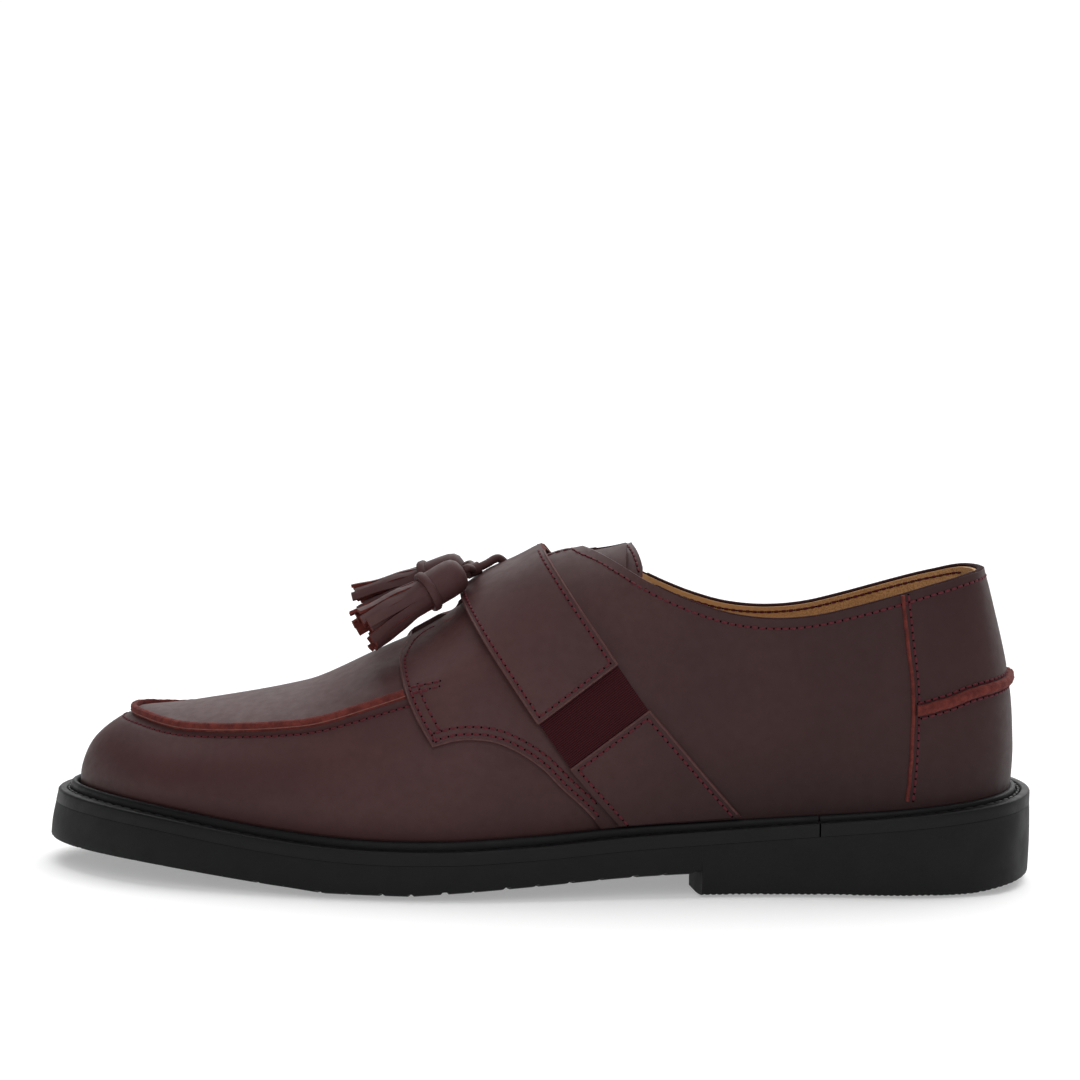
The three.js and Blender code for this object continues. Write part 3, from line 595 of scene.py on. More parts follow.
def wall_points(theta, share):
    """Points up the wall of the last, from its foot (0) to its shoulder (1)."""
    insets = [ball_width * last_value(name, theta) for name in ("foot", "bulge", "wall", "shoulder")]
    ups = [0 * theta] + [instep_height * last_value(name, theta)
                         for name in ("bulge_up", "wall_up", "shoulder_up")]
    knots = np.stack([np.stack([inset, rise], -1) for inset, rise in zip(insets, ups)])
    t = share * 3
    k = min(int(t), 2)
    w = t - k
    before, after = knots[max(k - 1, 0)], knots[min(k + 2, 3)]
    a, b = knots[k], knots[k + 1]
    slope_a, slope_b = (b - before) / 2, (after - a) / 2
    inset, rise = ((2 * a - 2 * b + slope_a + slope_b) * w**3
                   + (3 * b - 3 * a - 2 * slope_a - slope_b) * w**2 + slope_a * w + a).T
    edge = outline(theta) + inward(theta) * inset[:, None]
    return np.stack([edge[:, 0] + ball_width * last_value("back", theta) * share**5, edge[:, 1],
                     rim_height(theta) + rise], 1)


def crown_points(turn, across):
    """Points over the top of the last, from the lateral shoulder (-1) to the medial one (1)."""
    left, far = wall_points(turn, 1.0), wall_points(-turn, 1.0)
    crest = np.stack([(left[:, 0] + far[:, 0]) / 2, ball_width * last_value("axis", turn),
                      rim_height(turn) + instep_height * last_value("ridge_up", turn)], 1)
    edge = left if across < 0 else far
    s = abs(across)
    plan = crest + (edge - crest) * s
    plan[:, 2] = crest[:, 2] + (edge[:, 2] - crest[:, 2]) * s ** last_value("crown", turn)
    return plan


def last_points(turns, across):
    """across runs 0-1 up the lateral wall, 1-2 over the top and 2-3 down the medial wall."""
    rows = []
    for a in across:
        if a <= 1:
            rows.append(wall_points(turns, a))
        elif a >= 2:
            rows.append(wall_points(-turns, 3 - a))
        else:
            rows.append(crown_points(turns, (a - 1) * 2 - 1))
    return np.array(rows)


def across_steps(wall, top, first=0.0, last=3.0):
    steps = np.concatenate([np.linspace(0, 1, wall + 1), np.linspace(1, 2, top + 1)[1:],
                            np.linspace(2, 3, wall + 1)[1:]])
    return steps[(steps >= first - 1e-9) & (steps <= last + 1e-9)]


def press_along(piece, lines, depth, width):
    """Presses a soft trough into a piece along lines given in the side view."""
    mesh = piece.data
    count = len(mesh.vertices)
    places, normals = np.empty(count * 3), np.empty(count * 3)
    mesh.vertices.foreach_get("co", places)
    mesh.vertices.foreach_get("normal", normals)
    places, normals = places.reshape(-1, 3), normals.reshape(-1, 3)
    nearest = np.full(count, 1.0)
    flat = places[:, [0, 2]]
    for line in lines:
        for a, b in zip(line[:-1], line[1:]):
            run = b - a
            t = np.clip(((flat - a) @ run) / max(run @ run, 1e-12), 0, 1)
            nearest = np.minimum(nearest, np.linalg.norm(flat - a - t[:, None] * run, axis=1))
    places -= normals * (depth * np.exp(-(nearest / width) ** 2))[:, None]
    mesh.vertices.foreach_set("co", places.reshape(-1))
    mesh.update()


def nudge(piece, centre, reach, push):
    """Moves the part of a piece near a point softly by a push. All three are in millimetres."""
    for vertex in piece.data.vertices:
        away = sum(((vertex.co[k] / mm - centre[k]) / reach[k]) ** 2 for k in range(3))
        if away < 9:
            vertex.co += Vector(push) * mm * math.exp(-away)


def shell(name, turns, across, low, high, finish, troughs=()):
    """A layer of the shoe between two distances from the last."""
    piece = laid_grid(name, last_points(turns, across), finish, 2e-5)
    modify(piece, "DISPLACE", strength=high, mid_level=0)
    for lines, depth, width in troughs:
        press_along(piece, lines, depth, width)
    modify(piece, "SOLIDIFY", thickness=high - low, offset=-1)
    return piece


def side_places(points):
    return np.array([[(along - 0.5) * shoe_length,
                      rim_height(turn_at((along - 0.5) * shoe_length)) + rise * instep_height]
                     for along, rise in points])


sky_high = heel_stack + 2 * instep_height
throat_x = 136 * mm - shoe_length / 2
throat_rear = 185 * mm - shoe_length / 2
throat_half = 7 * mm
topline = spline(side_places([
    (.500, 1.06), (.516, 1.03), (.537, .990), (.556, .960), (.577, .917), (.600, .866), (.625, .818),
    (.655, .770), (.690, .728), (.730, .705), (.770, .706), (.810, .728), (.853, .758),
    (.902, .792), (.950, .812), (1.05, .815)]), 120)
wing_front = spline(side_places([
    (.420, 1.00), (.413, .768), (.389, .737), (.370, .693), (.361, .645), (.359, .614),
    (.366, .536), (.379, .446), (.396, .354)]), 64)
wing_lower = spline(side_places([
    (.396, .354), (.423, .376), (.452, .368), (.476, .332), (.501, .269), (.522, .189),
    (.551, .080), (.575, -.05)]), 56)
heel_seam = spline(side_places([
    (.853, .86), (.858, .74), (.862, .613), (.868, .440), (.8685, .283), (.867, .141),
    (.865, .045)]), 48)
heel_ridge = spline(side_places([(.874, .361), (.905, .380), (.938, .404), (1.02, .425)]), 40)


def collar_prism(finish, drop=0.0):
    line = topline - np.array([0, drop])
    return side_prism([*line, (shoe_length, sky_high), (line[0][0], sky_high)], finish, tilt=0.03)


def throat_prism(finish, half=throat_half):
    rear = throat_rear - 20 * mm
    return plan_prism([(throat_x, -half), (rear, -half), (throat_rear, -1.7 * half),
                       (throat_rear, 1.7 * half), (rear, half), (throat_x, half)],
                      finish, 2 * heel_stack, sky_high)


under_wing = [wing_front + np.array([0.6 * mm, 0]), wing_lower + np.array([0.3 * mm, -0.5 * mm])]
apron_fold = wall_points(even_turns(0, 78, 1 * mm), 0.935)[:, [0, 2]]
vamp = shell("vamp_and_plug", even_turns(0, 101, 1.5 * mm), across_steps(44, 44), -1.2 * mm, 0.01 * mm, leather,
             [(under_wing, 0.25 * mm, 2.5 * mm), ([apron_fold], 0.35 * mm, 0.9 * mm)])
cut(vamp, plan_prism([(throat_x + 4 * mm, -throat_half), (throat_rear, -throat_half),
                      (throat_rear, throat_half), (throat_x + 4 * mm, throat_half)],
                     leather, 2 * heel_stack, sky_high), "DIFFERENCE")
instep_dip = ((-9, 0, 98), (8, 13, 40), (0, 0, -2.0))
nudge(vamp, *instep_dip)
smooth(vamp)
hand_over(vamp, "leather", "upper")

# Wings and quarters: one piece of the same leather on each side, lapped over the vamp with a
# raw edge and two rows of stitches, and joined behind by the heel piece.
wing_shape = [*wing_front, *wing_lower[1:], (heel_seam[-1][0], 0), *heel_seam[::-1],
              (heel_seam[0][0], sky_high), (wing_front[0][0], sky_high)]


def beside(line, distance):
    """The line moved sideways by a distance, to the left as it runs."""
    line = np.asarray(line, float)
    along = np.gradient(line, axis=0)
    along /= np.linalg.norm(along, axis=1, keepdims=True)
    return line + distance * np.stack([-along[:, 1], along[:, 0]], 1)


wing_edge = np.concatenate([wing_front, wing_lower[1:]])
row_near = [beside(wing_front[16:-1], 1.7 * mm), beside(wing_lower[1:50], 1.7 * mm)]
row_far = [beside(wing_front[48:-3], 4.4 * mm), beside(wing_lower[2:48], 3.7 * mm)]
topline_row = beside(topline[2:], -1.9 * mm)
quarters = shell("wings_and_quarters", even_turns(72, 166, 1.5 * mm), across_steps(56, 30), 0.03 * mm,
                 1.2 * mm, leather, [(row_near + row_far + [topline_row], 0.22 * mm, 0.9 * mm),
                                     ([wing_edge], 0.25 * mm, 1.2 * mm)])
nudge(quarters, *instep_dip)
nudge(quarters, (10, -9, 97), (10, 6, 30), (0, 0, 0.9))
nudge(quarters, (9, 9, 97), (10, 6, 30), (0, 0, -1.5))
cut(quarters, side_prism(wing_shape, raw_edge), "INTERSECT")
cut(quarters, collar_prism(leather), "DIFFERENCE")
cut(quarters, throat_prism(leather), "DIFFERENCE")
cut(quarters, plan_prism([(-shoe_length / 2, -throat_half), (throat_x + 0.1 * mm, -throat_half),
                          (throat_x + 0.1 * mm, throat_half), (-shoe_length / 2, throat_half)],
                         leather, heel_stack, sky_high), "DIFFERENCE")
smooth(quarters)
hand_over(quarters, "leather", "upper")

heel_shape = [*beside(heel_seam, 0.0), (heel_seam[-1][0], 0), (shoe_length, 0), (shoe_length, sky_high),
              (heel_seam[0][0], sky_high)]
ridge_rows = [beside(heel_ridge, 2.3 * mm), beside(heel_ridge, -2.3 * mm)]
heel_piece = shell("heel_piece", even_turns(128, 180, 1.5 * mm), across_steps(60, 10), 0.03 * mm, 1.2 * mm,
                   leather, [([topline_row], 0.22 * mm, 0.9 * mm), (ridge_rows, 0.2 * mm, 0.9 * mm)])
cut(heel_piece, collar_prism(leather), "DIFFERENCE")
cut(heel_piece, side_prism(heel_shape, raw_edge), "INTERSECT")
smooth(heel_piece)
hand_over(heel_piece, "leather", "upper")

# Lining: tan leather glued inside the whole upper. It ends a little below the topline, and
# towards the heel it is turned suede side out.
lining = shell("lining", even_turns(0, 180, 3 * mm), across_steps(40, 20, 0.02, 2.98), -2.2 * mm, -1.25 * mm,
               tan_leather)
cut(lining, collar_prism(tan_leather, 0.5 * mm), "DIFFERENCE")
cut(lining, throat_prism(tan_leather, throat_half + 0.3 * mm), "DIFFERENCE")
nudge(lining, *instep_dip)
smooth(lining)
hand_over(lining, "lining", "upper")

# Topline: the quarter leather is folded over at the collar, which leaves a soft dark roll.


folded = Finish("folded_leather", Roughness=0.85, Specular_IOR_Level=0.06)
folded.feed(folded.shader, {"Base Color": folded.blend(
    folded.noise(folded.place(), 3 * mm, 3), (0.016, 0.005, 0.0055, 1), (0.034, 0.0110, 0.0115, 1))})


def line_on_last(line, turns, offset, medial, tilt=0.0):
    """Where a side-view line crosses the wall at each turn, off the last by an offset."""
    shares = np.linspace(0.05, 1, 160)
    theta = -turns if medial else turns
    walls = np.array([wall_points(theta, share) for share in shares])
    aims = np.interp(walls[..., 0], line[:, 0], line[:, 1]) - tilt * walls[..., 1]
    found, outwards = [], []
    for k in range(len(turns)):
        over = walls[:, k, 2] - aims[:, k]
        n = int(np.argmax(over > 0)) if (over > 0).any() else len(shares) - 1
        n = max(n, 1)
        w = np.clip(-over[n - 1] / max(over[n] - over[n - 1], 1e-9), 0, 1)
        found.append(walls[n - 1, k] * (1 - w) + walls[n, k] * w)
        rise = walls[n, k] - walls[n - 1, k]
        step = wall_points(theta[k:k + 1] + 0.5, shares[n])[0] - wall_points(theta[k:k + 1] - 0.5, shares[n])[0]
        out = np.cross(rise, step)
        out /= np.linalg.norm(out)
        if np.dot(out[:2], inward(theta[k:k + 1])[0]) > 0:
            out = -out
        outwards.append(out)
    found, outwards = np.array(found), np.array(outwards)
    return found + outwards * offset, outwards


def strip(name, places, normals, profile, finish, closed=False):
    """A strip swept along places. profile gives (across, up) of its section, closed on itself."""
    places, normals = np.asarray(places), np.asarray(normals)
    along = np.gradient(places, axis=0)
    if closed:
        along[0] = along[-1] = places[1] - places[-2]
    along /= np.linalg.norm(along, axis=1, keepdims=True)
    side = np.cross(normals, along)
    side /= np.linalg.norm(side, axis=1, keepdims=True)
    top = np.cross(along, side)
    section = np.asarray(profile, float)
    if section.ndim == 2:
        section = np.repeat(section[:, None], len(places), axis=1)
    rows = [places + side * pair[:, :1] + top * pair[:, 1:] for pair in section]
    rows.append(rows[0])
    piece = laid_grid(name, np.array(rows), finish)
    if not closed:
        bpy.ops.object.mode_set(mode="EDIT")
        bpy.ops.mesh.select_all(action="DESELECT")
        bpy.ops.mesh.select_non_manifold(extend=False)
        bpy.ops.mesh.fill_holes(sides=0)
        bpy.ops.mesh.select_all(action="SELECT")
        bpy.ops.mesh.normals_make_consistent(inside=False)
        bpy.ops.object.mode_set(mode="OBJECT")
    smooth(piece, 50)
    return piece


def oval(half_across, half_up, count=10, lift=0.0):
    angles = np.linspace(0, 2 * math.pi, count, endpoint=False)
    return np.stack([half_across * np.cos(angles), lift + half_up * np.sin(angles)], 1)


collar_turns = even_turns(float(turn_at(topline[30][0])), 180, 1.5 * mm)
outer_half, outer_out = line_on_last(topline, collar_turns, 0.05 * mm, False, 0.03)
inner_half, inner_out = line_on_last(topline, collar_turns, 0.05 * mm, True, 0.03)
collar_path = np.concatenate([outer_half, inner_half[::-1][1:]])
collar_up = np.tile([0.0, 0.0, 1.0], (len(collar_path), 1))
collar_roll = strip("collar_roll", collar_path, collar_up, oval(1.18 * mm, 0.6 * mm, 12, -0.2 * mm), folded)
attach(collar_roll, "root")

# Tongue: the leather that carries on under the wings. Its raw end shows behind the strap.
tongue_front, tongue_end, tongue_half = (114 * mm - shoe_length / 2, 181 * mm - shoe_length / 2, 21 * mm)
tongue = laid_grid("tongue_leather", last_points(even_turns(68, 108, 1.5 * mm), across_steps(10, 56, 0.7, 2.3)),
                   leather, 2e-5)
for vertex in tongue.data.vertices:
    near_crest = math.exp(-(vertex.co.y / (7 * mm)) ** 2)
    vertex.co.z += 1.0 * mm * near_crest * float(step_up(vertex.co.x, tongue_end - 14 * mm, tongue_end))
modify(tongue, "DISPLACE", strength=-2.5 * mm, mid_level=0)
modify(tongue, "SOLIDIFY", thickness=1.8 * mm, offset=-1)
corner = 4 * mm
bends = [(tongue_end + 0.8 * mm - corner * (1 - math.sin(a)), corner * (1 - math.cos(a)))
         for a in np.radians([0, 22.5, 45, 67.5, 90])]
cut(tongue, plan_prism([(tongue_front, -tongue_half)] + [(x, -tongue_half + y) for x, y in bends]
                       + [(tongue_end - 2.8 * mm, 0)]
                       + [(x, tongue_half - y) for x, y in bends[::-1]] + [(tongue_front, tongue_half)],
                       raw_edge, 2 * heel_stack, sky_high), "INTERSECT")
nudge(tongue, *instep_dip)
smooth(tongue)
hand_over(tongue, "leather", "tongue")

# Apron rim: the moccasin seam. The raw edge of the side leather stands up all round the plug,
# rough and redder than the face of the leather.
apron_turns = even_turns(0, 78, 1.2 * mm)
apron_lateral = wall_points(apron_turns, 1.0)
apron_medial = wall_points(-apron_turns, 1.0)
apron_path = np.concatenate([apron_lateral[::-1], apron_medial[1:]])
lower_path = np.concatenate([wall_points(apron_turns, 0.985)[::-1], wall_points(-apron_turns, 0.985)[1:]])
rise = apron_path - lower_path
run = np.gradient(apron_path, axis=0)
lean_out = np.cross(run, rise)
lean_out /= np.linalg.norm(lean_out, axis=1, keepdims=True)
lean_out *= np.sign(lean_out[:, 2:] + 1e-9)
apron_up = 0.8 * np.array([0, 0, 1.0]) + 0.35 * lean_out
apron_up /= np.linalg.norm(apron_up, axis=1, keepdims=True)
ripple = np.sin(np.arange(len(apron_path)) * 1.7) * 0.05 * mm + np.sin(np.arange(len(apron_path)) * 0.61) * 0.06 * mm
section = []
for across, height in [(-0.4, -0.6), (-0.95, 0.5), (-0.95, 1.6), (-0.8, 2.15), (-0.3, 2.35), (0.4, 2.35), (0.85, 2.15),
                       (1.0, 1.6), (1.05, 0.55), (0.4, -0.6)]:
    wave = ripple * (1.0 if height > 1 else 0.0)
    section.append(np.stack([across * mm + 0 * wave, height * mm + wave], 1))
apron_rim = strip("apron_edge", apron_path, apron_up, np.array(section), raw_edge)
# Painted highlight: a thin lighter cord along the lower outer corner of the rim, standing for the light that catches
# that cut corner.
corner_highlight_paint = Finish("raw_corner_painted_highlight", Roughness=0.75, Specular_IOR_Level=0.2)
corner_highlight_cloud = corner_highlight_paint.noise(corner_highlight_paint.place(), 1.5 * mm, 3)
corner_highlight_paint.feed(corner_highlight_paint.shader, {"Base Color": corner_highlight_paint.blend(
    corner_highlight_cloud, (0.09, 0.028, 0.024, 1), (0.24, 0.105, 0.085, 1))})
apron_highlight_line = strip("apron_highlight_line", apron_path, apron_up, oval(0.17 * mm, 0.17 * mm, 6)
                     + np.array([1.0, 0.55]) * mm, corner_highlight_paint)
wing_cut = [*(wing_edge + np.array([-0.3 * mm, 0])), (shoe_length, 0), (shoe_length, sky_high),
            (wing_front[0][0], sky_high)]
cut(apron_rim, side_prism(wing_cut, raw_edge), "DIFFERENCE")
cut(apron_highlight_line, side_prism(wing_cut, corner_highlight_paint), "DIFFERENCE")
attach(apron_highlight_line, "root")
smooth(apron_rim, 50)
hand_over(apron_rim, "raw_edge", "apron_rim")

# Strap: a band of doubled leather over the instep. Each end is stitched to a short ribbed
# elastic, and that to a leather anchor which is lasted in under the sole.
strap_slope = math.radians(54)
strap_width = 29 * mm
band_start = np.array([150.9 * mm - shoe_length / 2, 51.9 * mm])
band_down = np.array([math.cos(strap_slope), -math.sin(strap_slope)])
band_over = np.array([math.sin(strap_slope), math.cos(strap_slope)])


def band(down, over):
    return band_start + down * mm * band_down + over * mm * band_over


def on_band(name, corners, low, high, finish, edge_finish, across, turns, halves=None):
    piece = shell(name, turns, across, low * mm, high * mm, finish)
    cut(piece, side_prism([band(*corner) for corner in corners], edge_finish, *(halves or ())), "INTERSECT")
    smooth(piece)
    return piece


strap = on_band("strap_band", [(0, 0), (0, 29), (-76, 29), (-76, 0)], 1.5, 3.9, leather, raw_edge,
                across_steps(40, 50, 0.3, 2.7), even_turns(68, 106, 1.2 * mm))
nudge(strap, *instep_dip)
hand_over(strap, "leather", "strap")

webbing = Finish("burgundy_elastic", Roughness=0.8, Specular_IOR_Level=0.1)
webbing_place = webbing.place()
apart = webbing.node("ShaderNodeSeparateXYZ", {}, {"Vector": webbing_place})
upright = webbing.node("ShaderNodeSeparateXYZ", {}, {"Vector": webbing_place}, 2)
down_band = apart * float(band_down[0]) + upright * float(band_down[1])
over_band = apart * float(band_over[0]) + upright * float(band_over[1])
rib = webbing.maths("SINE", down_band * (2 * math.pi / (0.62 * mm))) * 0.5 + 0.5
knit = webbing.maths("SINE", over_band * (2 * math.pi / (0.5 * mm))) * 0.5 + 0.5
webbing.feed(webbing.shader, {"Base Color": webbing.blend(
    rib * 0.8 + knit * 0.2, (0.010, 0.0018, 0.0022, 1), (0.050, 0.0075, 0.010, 1))})
webbing.relief(rib * 0.00016 + knit * 0.00004)

for side, halves, (first, last) in [("lateral", (-ball_width, 0), (0.0, 1.4)),
                                    ("medial", (0, ball_width), (1.6, 3.0))]:
    elastic = on_band(f"elastic_web_{side}", [(0.3, 0.4), (16, 0.4), (16, 28.6), (0.3, 28.6)], 1.5, 2.8,
                      webbing, webbing, across_steps(44, 10, first, last), even_turns(78, 112, 2 * mm), halves)
    hand_over(elastic, "webbing", f"elastic_{side}")
    anchor = on_band(f"anchor_leather_{side}", [(16.3, 0), (64, 4.2), (64, 33.2), (16.3, 29)], 1.5, 2.9,
                     leather, raw_edge, across_steps(60, 10, first + (0.02 if side == "lateral" else 0), last),
                     even_turns(84, 126, 1.5 * mm), halves)
    cut(anchor, side_prism([(x * mm, rim_height(turn_at(x * mm)) + 2.9 * mm) for x in range(0, 75, 5)]
                           + [(70 * mm, sky_high), (0, sky_high)], leather), "INTERSECT")
    smooth(anchor)
    hand_over(anchor, "leather", f"anchor_{side}")

# Heel trim: the raw front edge of the heel piece stands up as a thin cord on each side, and
# a thicker raw ridge runs round the back between the two.


def tree_of(pieces):
    """The faces of several pieces together, for finding places on them."""
    places, faces = [], []
    for piece in pieces:
        start = len(places)
        places += [v.co.copy() for v in piece.data.vertices]
        faces += [[start + v for v in f.vertices] for f in piece.data.polygons]
    return BVHTree.FromPolygons(places, faces)


def seen_from_side(tree, line, side, reach=0.3):
    """Where a side-view line falls on the pieces, seen from the outer side (-1) or inner (1)."""
    places, normals = [], []
    for x, z in line:
        place, normal, _, _ = tree.ray_cast(Vector((x, side * reach, z)), Vector((0, -side, 0)))
        if place is not None and place.y * side > -0.01:
            places.append(place[:])
            normals.append(normal[:])
    return np.array(places), np.array(normals)


outside = tree_of([vamp, quarters, heel_piece])
for side, word in ((-1, "lateral"), (1, "medial")):
    places, normals = seen_from_side(outside, beside(heel_seam, -0.3 * mm), side)
    places = np.concatenate([places[:1] + np.array([0, 0, 1.1 * mm]), places])
    normals = np.concatenate([normals[:1], normals])
    cord_wave = np.sin(np.arange(len(places)) * 0.9) * 0.05 * mm
    section = np.array([np.stack([a * mm + cord_wave, b * mm + 0 * cord_wave], 1) for a, b in
                        [(-0.55, -0.6), (-0.55, 0.4), (-0.35, 0.75), (0, 0.85), (0.35, 0.75), (0.55, 0.4), (0.55, -0.6)]])
    piping = strip(f"heel_cord_{word}", places, normals, section, raw_edge)
    hand_over(piping, "raw_edge", f"heel_piping_{word}")

ridge_turns = even_turns(float(turn_at(heel_ridge[0][0])), 180, 1.2 * mm)
outer_half, outer_out = line_on_last(heel_ridge, ridge_turns, 1.3 * mm, False)
inner_half, inner_out = line_on_last(heel_ridge, ridge_turns, 1.3 * mm, True)
ridge_path = np.concatenate([outer_half, inner_half[::-1][1:]])
ridge_out = np.concatenate([outer_out, inner_out[::-1][1:]])
ridge_step = np.arange(len(ridge_path))
fray = np.sin(ridge_step * 1.3) * (0.08 + 0.35 * np.exp(-((ridge_step - len(ridge_path) / 2) / 2.5) ** 2)) * mm
section = np.array([np.stack([a * mm + fray, b * mm + fray * (b > 0.5)], 1) for a, b in
                    [(-1.5, -0.5), (-1.6, 0.5), (-1.3, 1.2), (-0.5, 1.65), (0.5, 1.65), (1.3, 1.2), (1.6, 0.5),
                     (1.5, -0.5)]])
ridge = strip("heel_ridge_edge", ridge_path, ridge_out, section, raw_edge)
hand_over(ridge, "raw_edge", "heel_ridge")

# Thread: wine-red lockstitches. Each stitch is a short plump length of thread between two
# punched holes, drawn a little into the leather.
thread = Finish("wine_thread", Roughness=0.7, Specular_IOR_Level=0.2)
thread_place = thread.place()
ply = thread.noise(thread_place, 0.5 * mm, 3)
thread.feed(thread.shader, {"Base Color": thread.blend(ply, (0.045, 0.006, 0.010, 1), (0.115, 0.016, 0.024, 1))})
thread.relief(ply * 0.00012)
# Painted shade: each needle hole is a flat near-black mark on the leather, standing for the shade inside the hole.
hole_shade_paint = Finish("painted_hole_shade", Roughness=0.9, Specular_IOR_Level=0.0)
hole_shade_paint.feed(hole_shade_paint.shader, {"Base Color": hole_shade_paint.blend(hole_shade_paint.noise(hole_shade_paint.place(), 1 * mm),
                                                 (0.0012, 0.0006, 0.0006, 1), (0.004, 0.0012, 0.0012, 1))})

pitch = 2.3 * mm
stitch_places, stitch_alongs, stitch_normals = [], [], []
hole_places, hole_alongs, hole_normals = [], [], []


def sew(places, normals):
    """Lays stitches at an even pitch along a run of places on the leather."""
    if len(places) < 3:
        return
    gaps = np.linalg.norm(np.diff(places, axis=0), axis=1)
    jumps = np.flatnonzero(gaps > 3 * mm)
    for run in np.split(np.arange(len(places)), jumps + 1):
        if len(run) < 3:
            continue
        length = np.concatenate([[0], np.cumsum(np.linalg.norm(np.diff(places[run], axis=0), axis=1))])
        count = int(length[-1] / pitch)
        if count < 1:
            continue
        at = lambda s, values: np.stack([np.interp(s, length, values[run, k]) for k in range(3)], 1)
        ends = np.linspace(0, length[-1], count + 1)
        middles = (ends[1:] + ends[:-1]) / 2
        out = at(middles, normals)
        out /= np.linalg.norm(out, axis=1, keepdims=True)
        stitch_places.append(at(middles, places) + out * 0.05 * mm)
        stitch_alongs.append(at(ends[1:], places) - at(ends[:-1], places))
        stitch_normals.append(out)
        out = at(ends, normals)
        out /= np.linalg.norm(out, axis=1, keepdims=True)
        hole_places.append(at(ends, places) + out * 0.02 * mm)
        hole_alongs.append(np.gradient(at(ends, places), axis=0))
        hole_normals.append(out)


def fine(line, step=0.4):
    line = np.asarray(line, float)
    run = np.concatenate([[0], np.cumsum(np.linalg.norm(np.diff(line, axis=0), axis=1))])
    s = np.linspace(0, run[-1], max(3, int(run[-1] / (step * mm))))
    return np.stack([np.interp(s, run, line[:, k]) for k in range(line.shape[1])], 1)


band_tree = tree_of([strap])
anchor_tree = tree_of([bpy.data.objects["anchor_leather_lateral"], bpy.data.objects["anchor_leather_medial"]])
bartack = [np.array([(-0.0388, 0.0608), (-0.0298, 0.0632)]), np.array([(-0.0384, 0.0594), (-0.0300, 0.0617)])]
wall_rows = row_near + row_far + [topline_row, beside(heel_seam[6:], 1.5 * mm), *bartack]
wall_rows += [row for row in ridge_rows]
for side in (-1, 1):
    for row in wall_rows:
        sew(*seen_from_side(outside, fine(row), side))
    for row in ([band(-60, 1.6), band(-1.6, 1.6), band(-1.6, 27.4), band(-60, 27.4)],):
        for start, end in zip(row[:-1], row[1:]):
            sew(*seen_from_side(band_tree, fine([start, end]), side))
    for row in ([band(18.1, 2.0), band(18.1, 27.1), band(60, 31)], [band(18.1, 2.0), band(60, 5.9)]):
        sew(*seen_from_side(anchor_tree, fine(row), side))

# Painted highlight: thin lighter strips laid along the cut edges of the strap, the anchors and the wings, standing for
# the light that catches each edge.
edge_highlight_paint = Finish("edge_rim_painted_highlight", Roughness=0.6, Specular_IOR_Level=0.2)
edge_highlight_paint.feed(edge_highlight_paint.shader, {"Base Color": edge_highlight_paint.blend(
    edge_highlight_paint.noise(edge_highlight_paint.place(), 1.5 * mm, 3), (0.040, 0.014, 0.014, 1), (0.100, 0.042, 0.040, 1))})
rims = []
for side in (-1, 1):
    for tree, line in ((band_tree, [band(-46, 0.25), band(-0.25, 0.25)]), (band_tree, [band(-0.25, 0.25), band(-0.25, 28.75)]),
                       (band_tree, [band(-0.25, 28.75), band(-58, 28.75)]),
                       (anchor_tree, [band(16.6, 0.3), band(16.6, 28.7)]), (anchor_tree, [band(16.6, 28.7), band(60, 32.5)]),
                       (outside, beside(wing_front[14:], 0.3 * mm)), (outside, beside(wing_lower[:50], 0.3 * mm))):
        places, normals = seen_from_side(tree, fine(line, 1.2), side)
        if len(places) > 3:
            rims.append(strip("rim", places, normals, oval(0.32 * mm, 0.18 * mm, 8), edge_highlight_paint))

apron_row_turns = even_turns(0, 76, 0.6 * mm)
outer_row = wall_points(apron_row_turns, 0.915)
inner_row = wall_points(-apron_row_turns, 0.915)
apron_row = np.concatenate([outer_row[::-1], inner_row[1:]])
vamp_tree = tree_of([vamp])
found = [vamp_tree.find_nearest(Vector(place)) for place in apron_row]
keep = [k for k in range(len(found)) if apron_row[k, 0] < -36 * mm]
sew(np.array([found[k][0][:] for k in keep]), np.array([found[k][1][:] for k in keep]))

lining_tree = tree_of([lining])
for side in (-1, 1):
    places, normals = [], []
    for x, z in fine(beside(topline[40:], -2.7 * mm), 1.0):
        place, normal, _, _ = lining_tree.ray_cast(Vector((x, 0, z)), Vector((0, side, 0)))
        if place is not None:
            places.append(place[:])
            normals.append((0.0, -side, 0.0))
    sew(np.array(places), np.array(normals))
for side in (-1, 1):
    places, normals = [], []
    for x in np.arange(1.0, 33.0, 0.4):
        y = side * (7 + 1.8 + max(0, x - 13.5) * 0.245)
        place, normal, _, _ = outside.ray_cast(Vector((x * mm, y * mm, sky_high)), Vector((0, 0, -1)))
        if place is not None and place.z < np.interp(place.x, topline_row[:, 0], topline_row[:, 1]) - 0.3 * mm:
            places.append(place[:])
            normals.append(normal[:])
    sew(np.array(places), np.array(normals))

tongue_tree = tree_of([tongue])
end_row = []
for y in np.linspace(-18, 18, 80) * mm:
    x = tongue_end - 4.3 * mm + 3.6 * abs(y) / 17
    place, normal, _, _ = tongue_tree.ray_cast(Vector((x, y, sky_high)), Vector((0, 0, -1)))
    if place is not None:
        end_row.append((place[:], normal[:]))
sew(np.array([place for place, _ in end_row]), np.array([normal for _, normal in end_row]))

stitches = strewn("stitches", bead_shape("stitch", thread, 1.95 * mm, 0.92 * mm, 0.62),
                  np.concatenate(stitch_places), np.concatenate(stitch_alongs), np.concatenate(stitch_normals), thread)
hole_shade_marks = strewn("painted_hole_shades", bead_shape("hole_shade_paint", hole_shade_paint, 0.5 * mm, 0.72 * mm, 0.28),
               np.concatenate(hole_places), np.concatenate(hole_alongs), np.concatenate(hole_normals), hole_shade_paint)
for piece in (stitches, hole_shade_marks):
    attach(piece, "root")

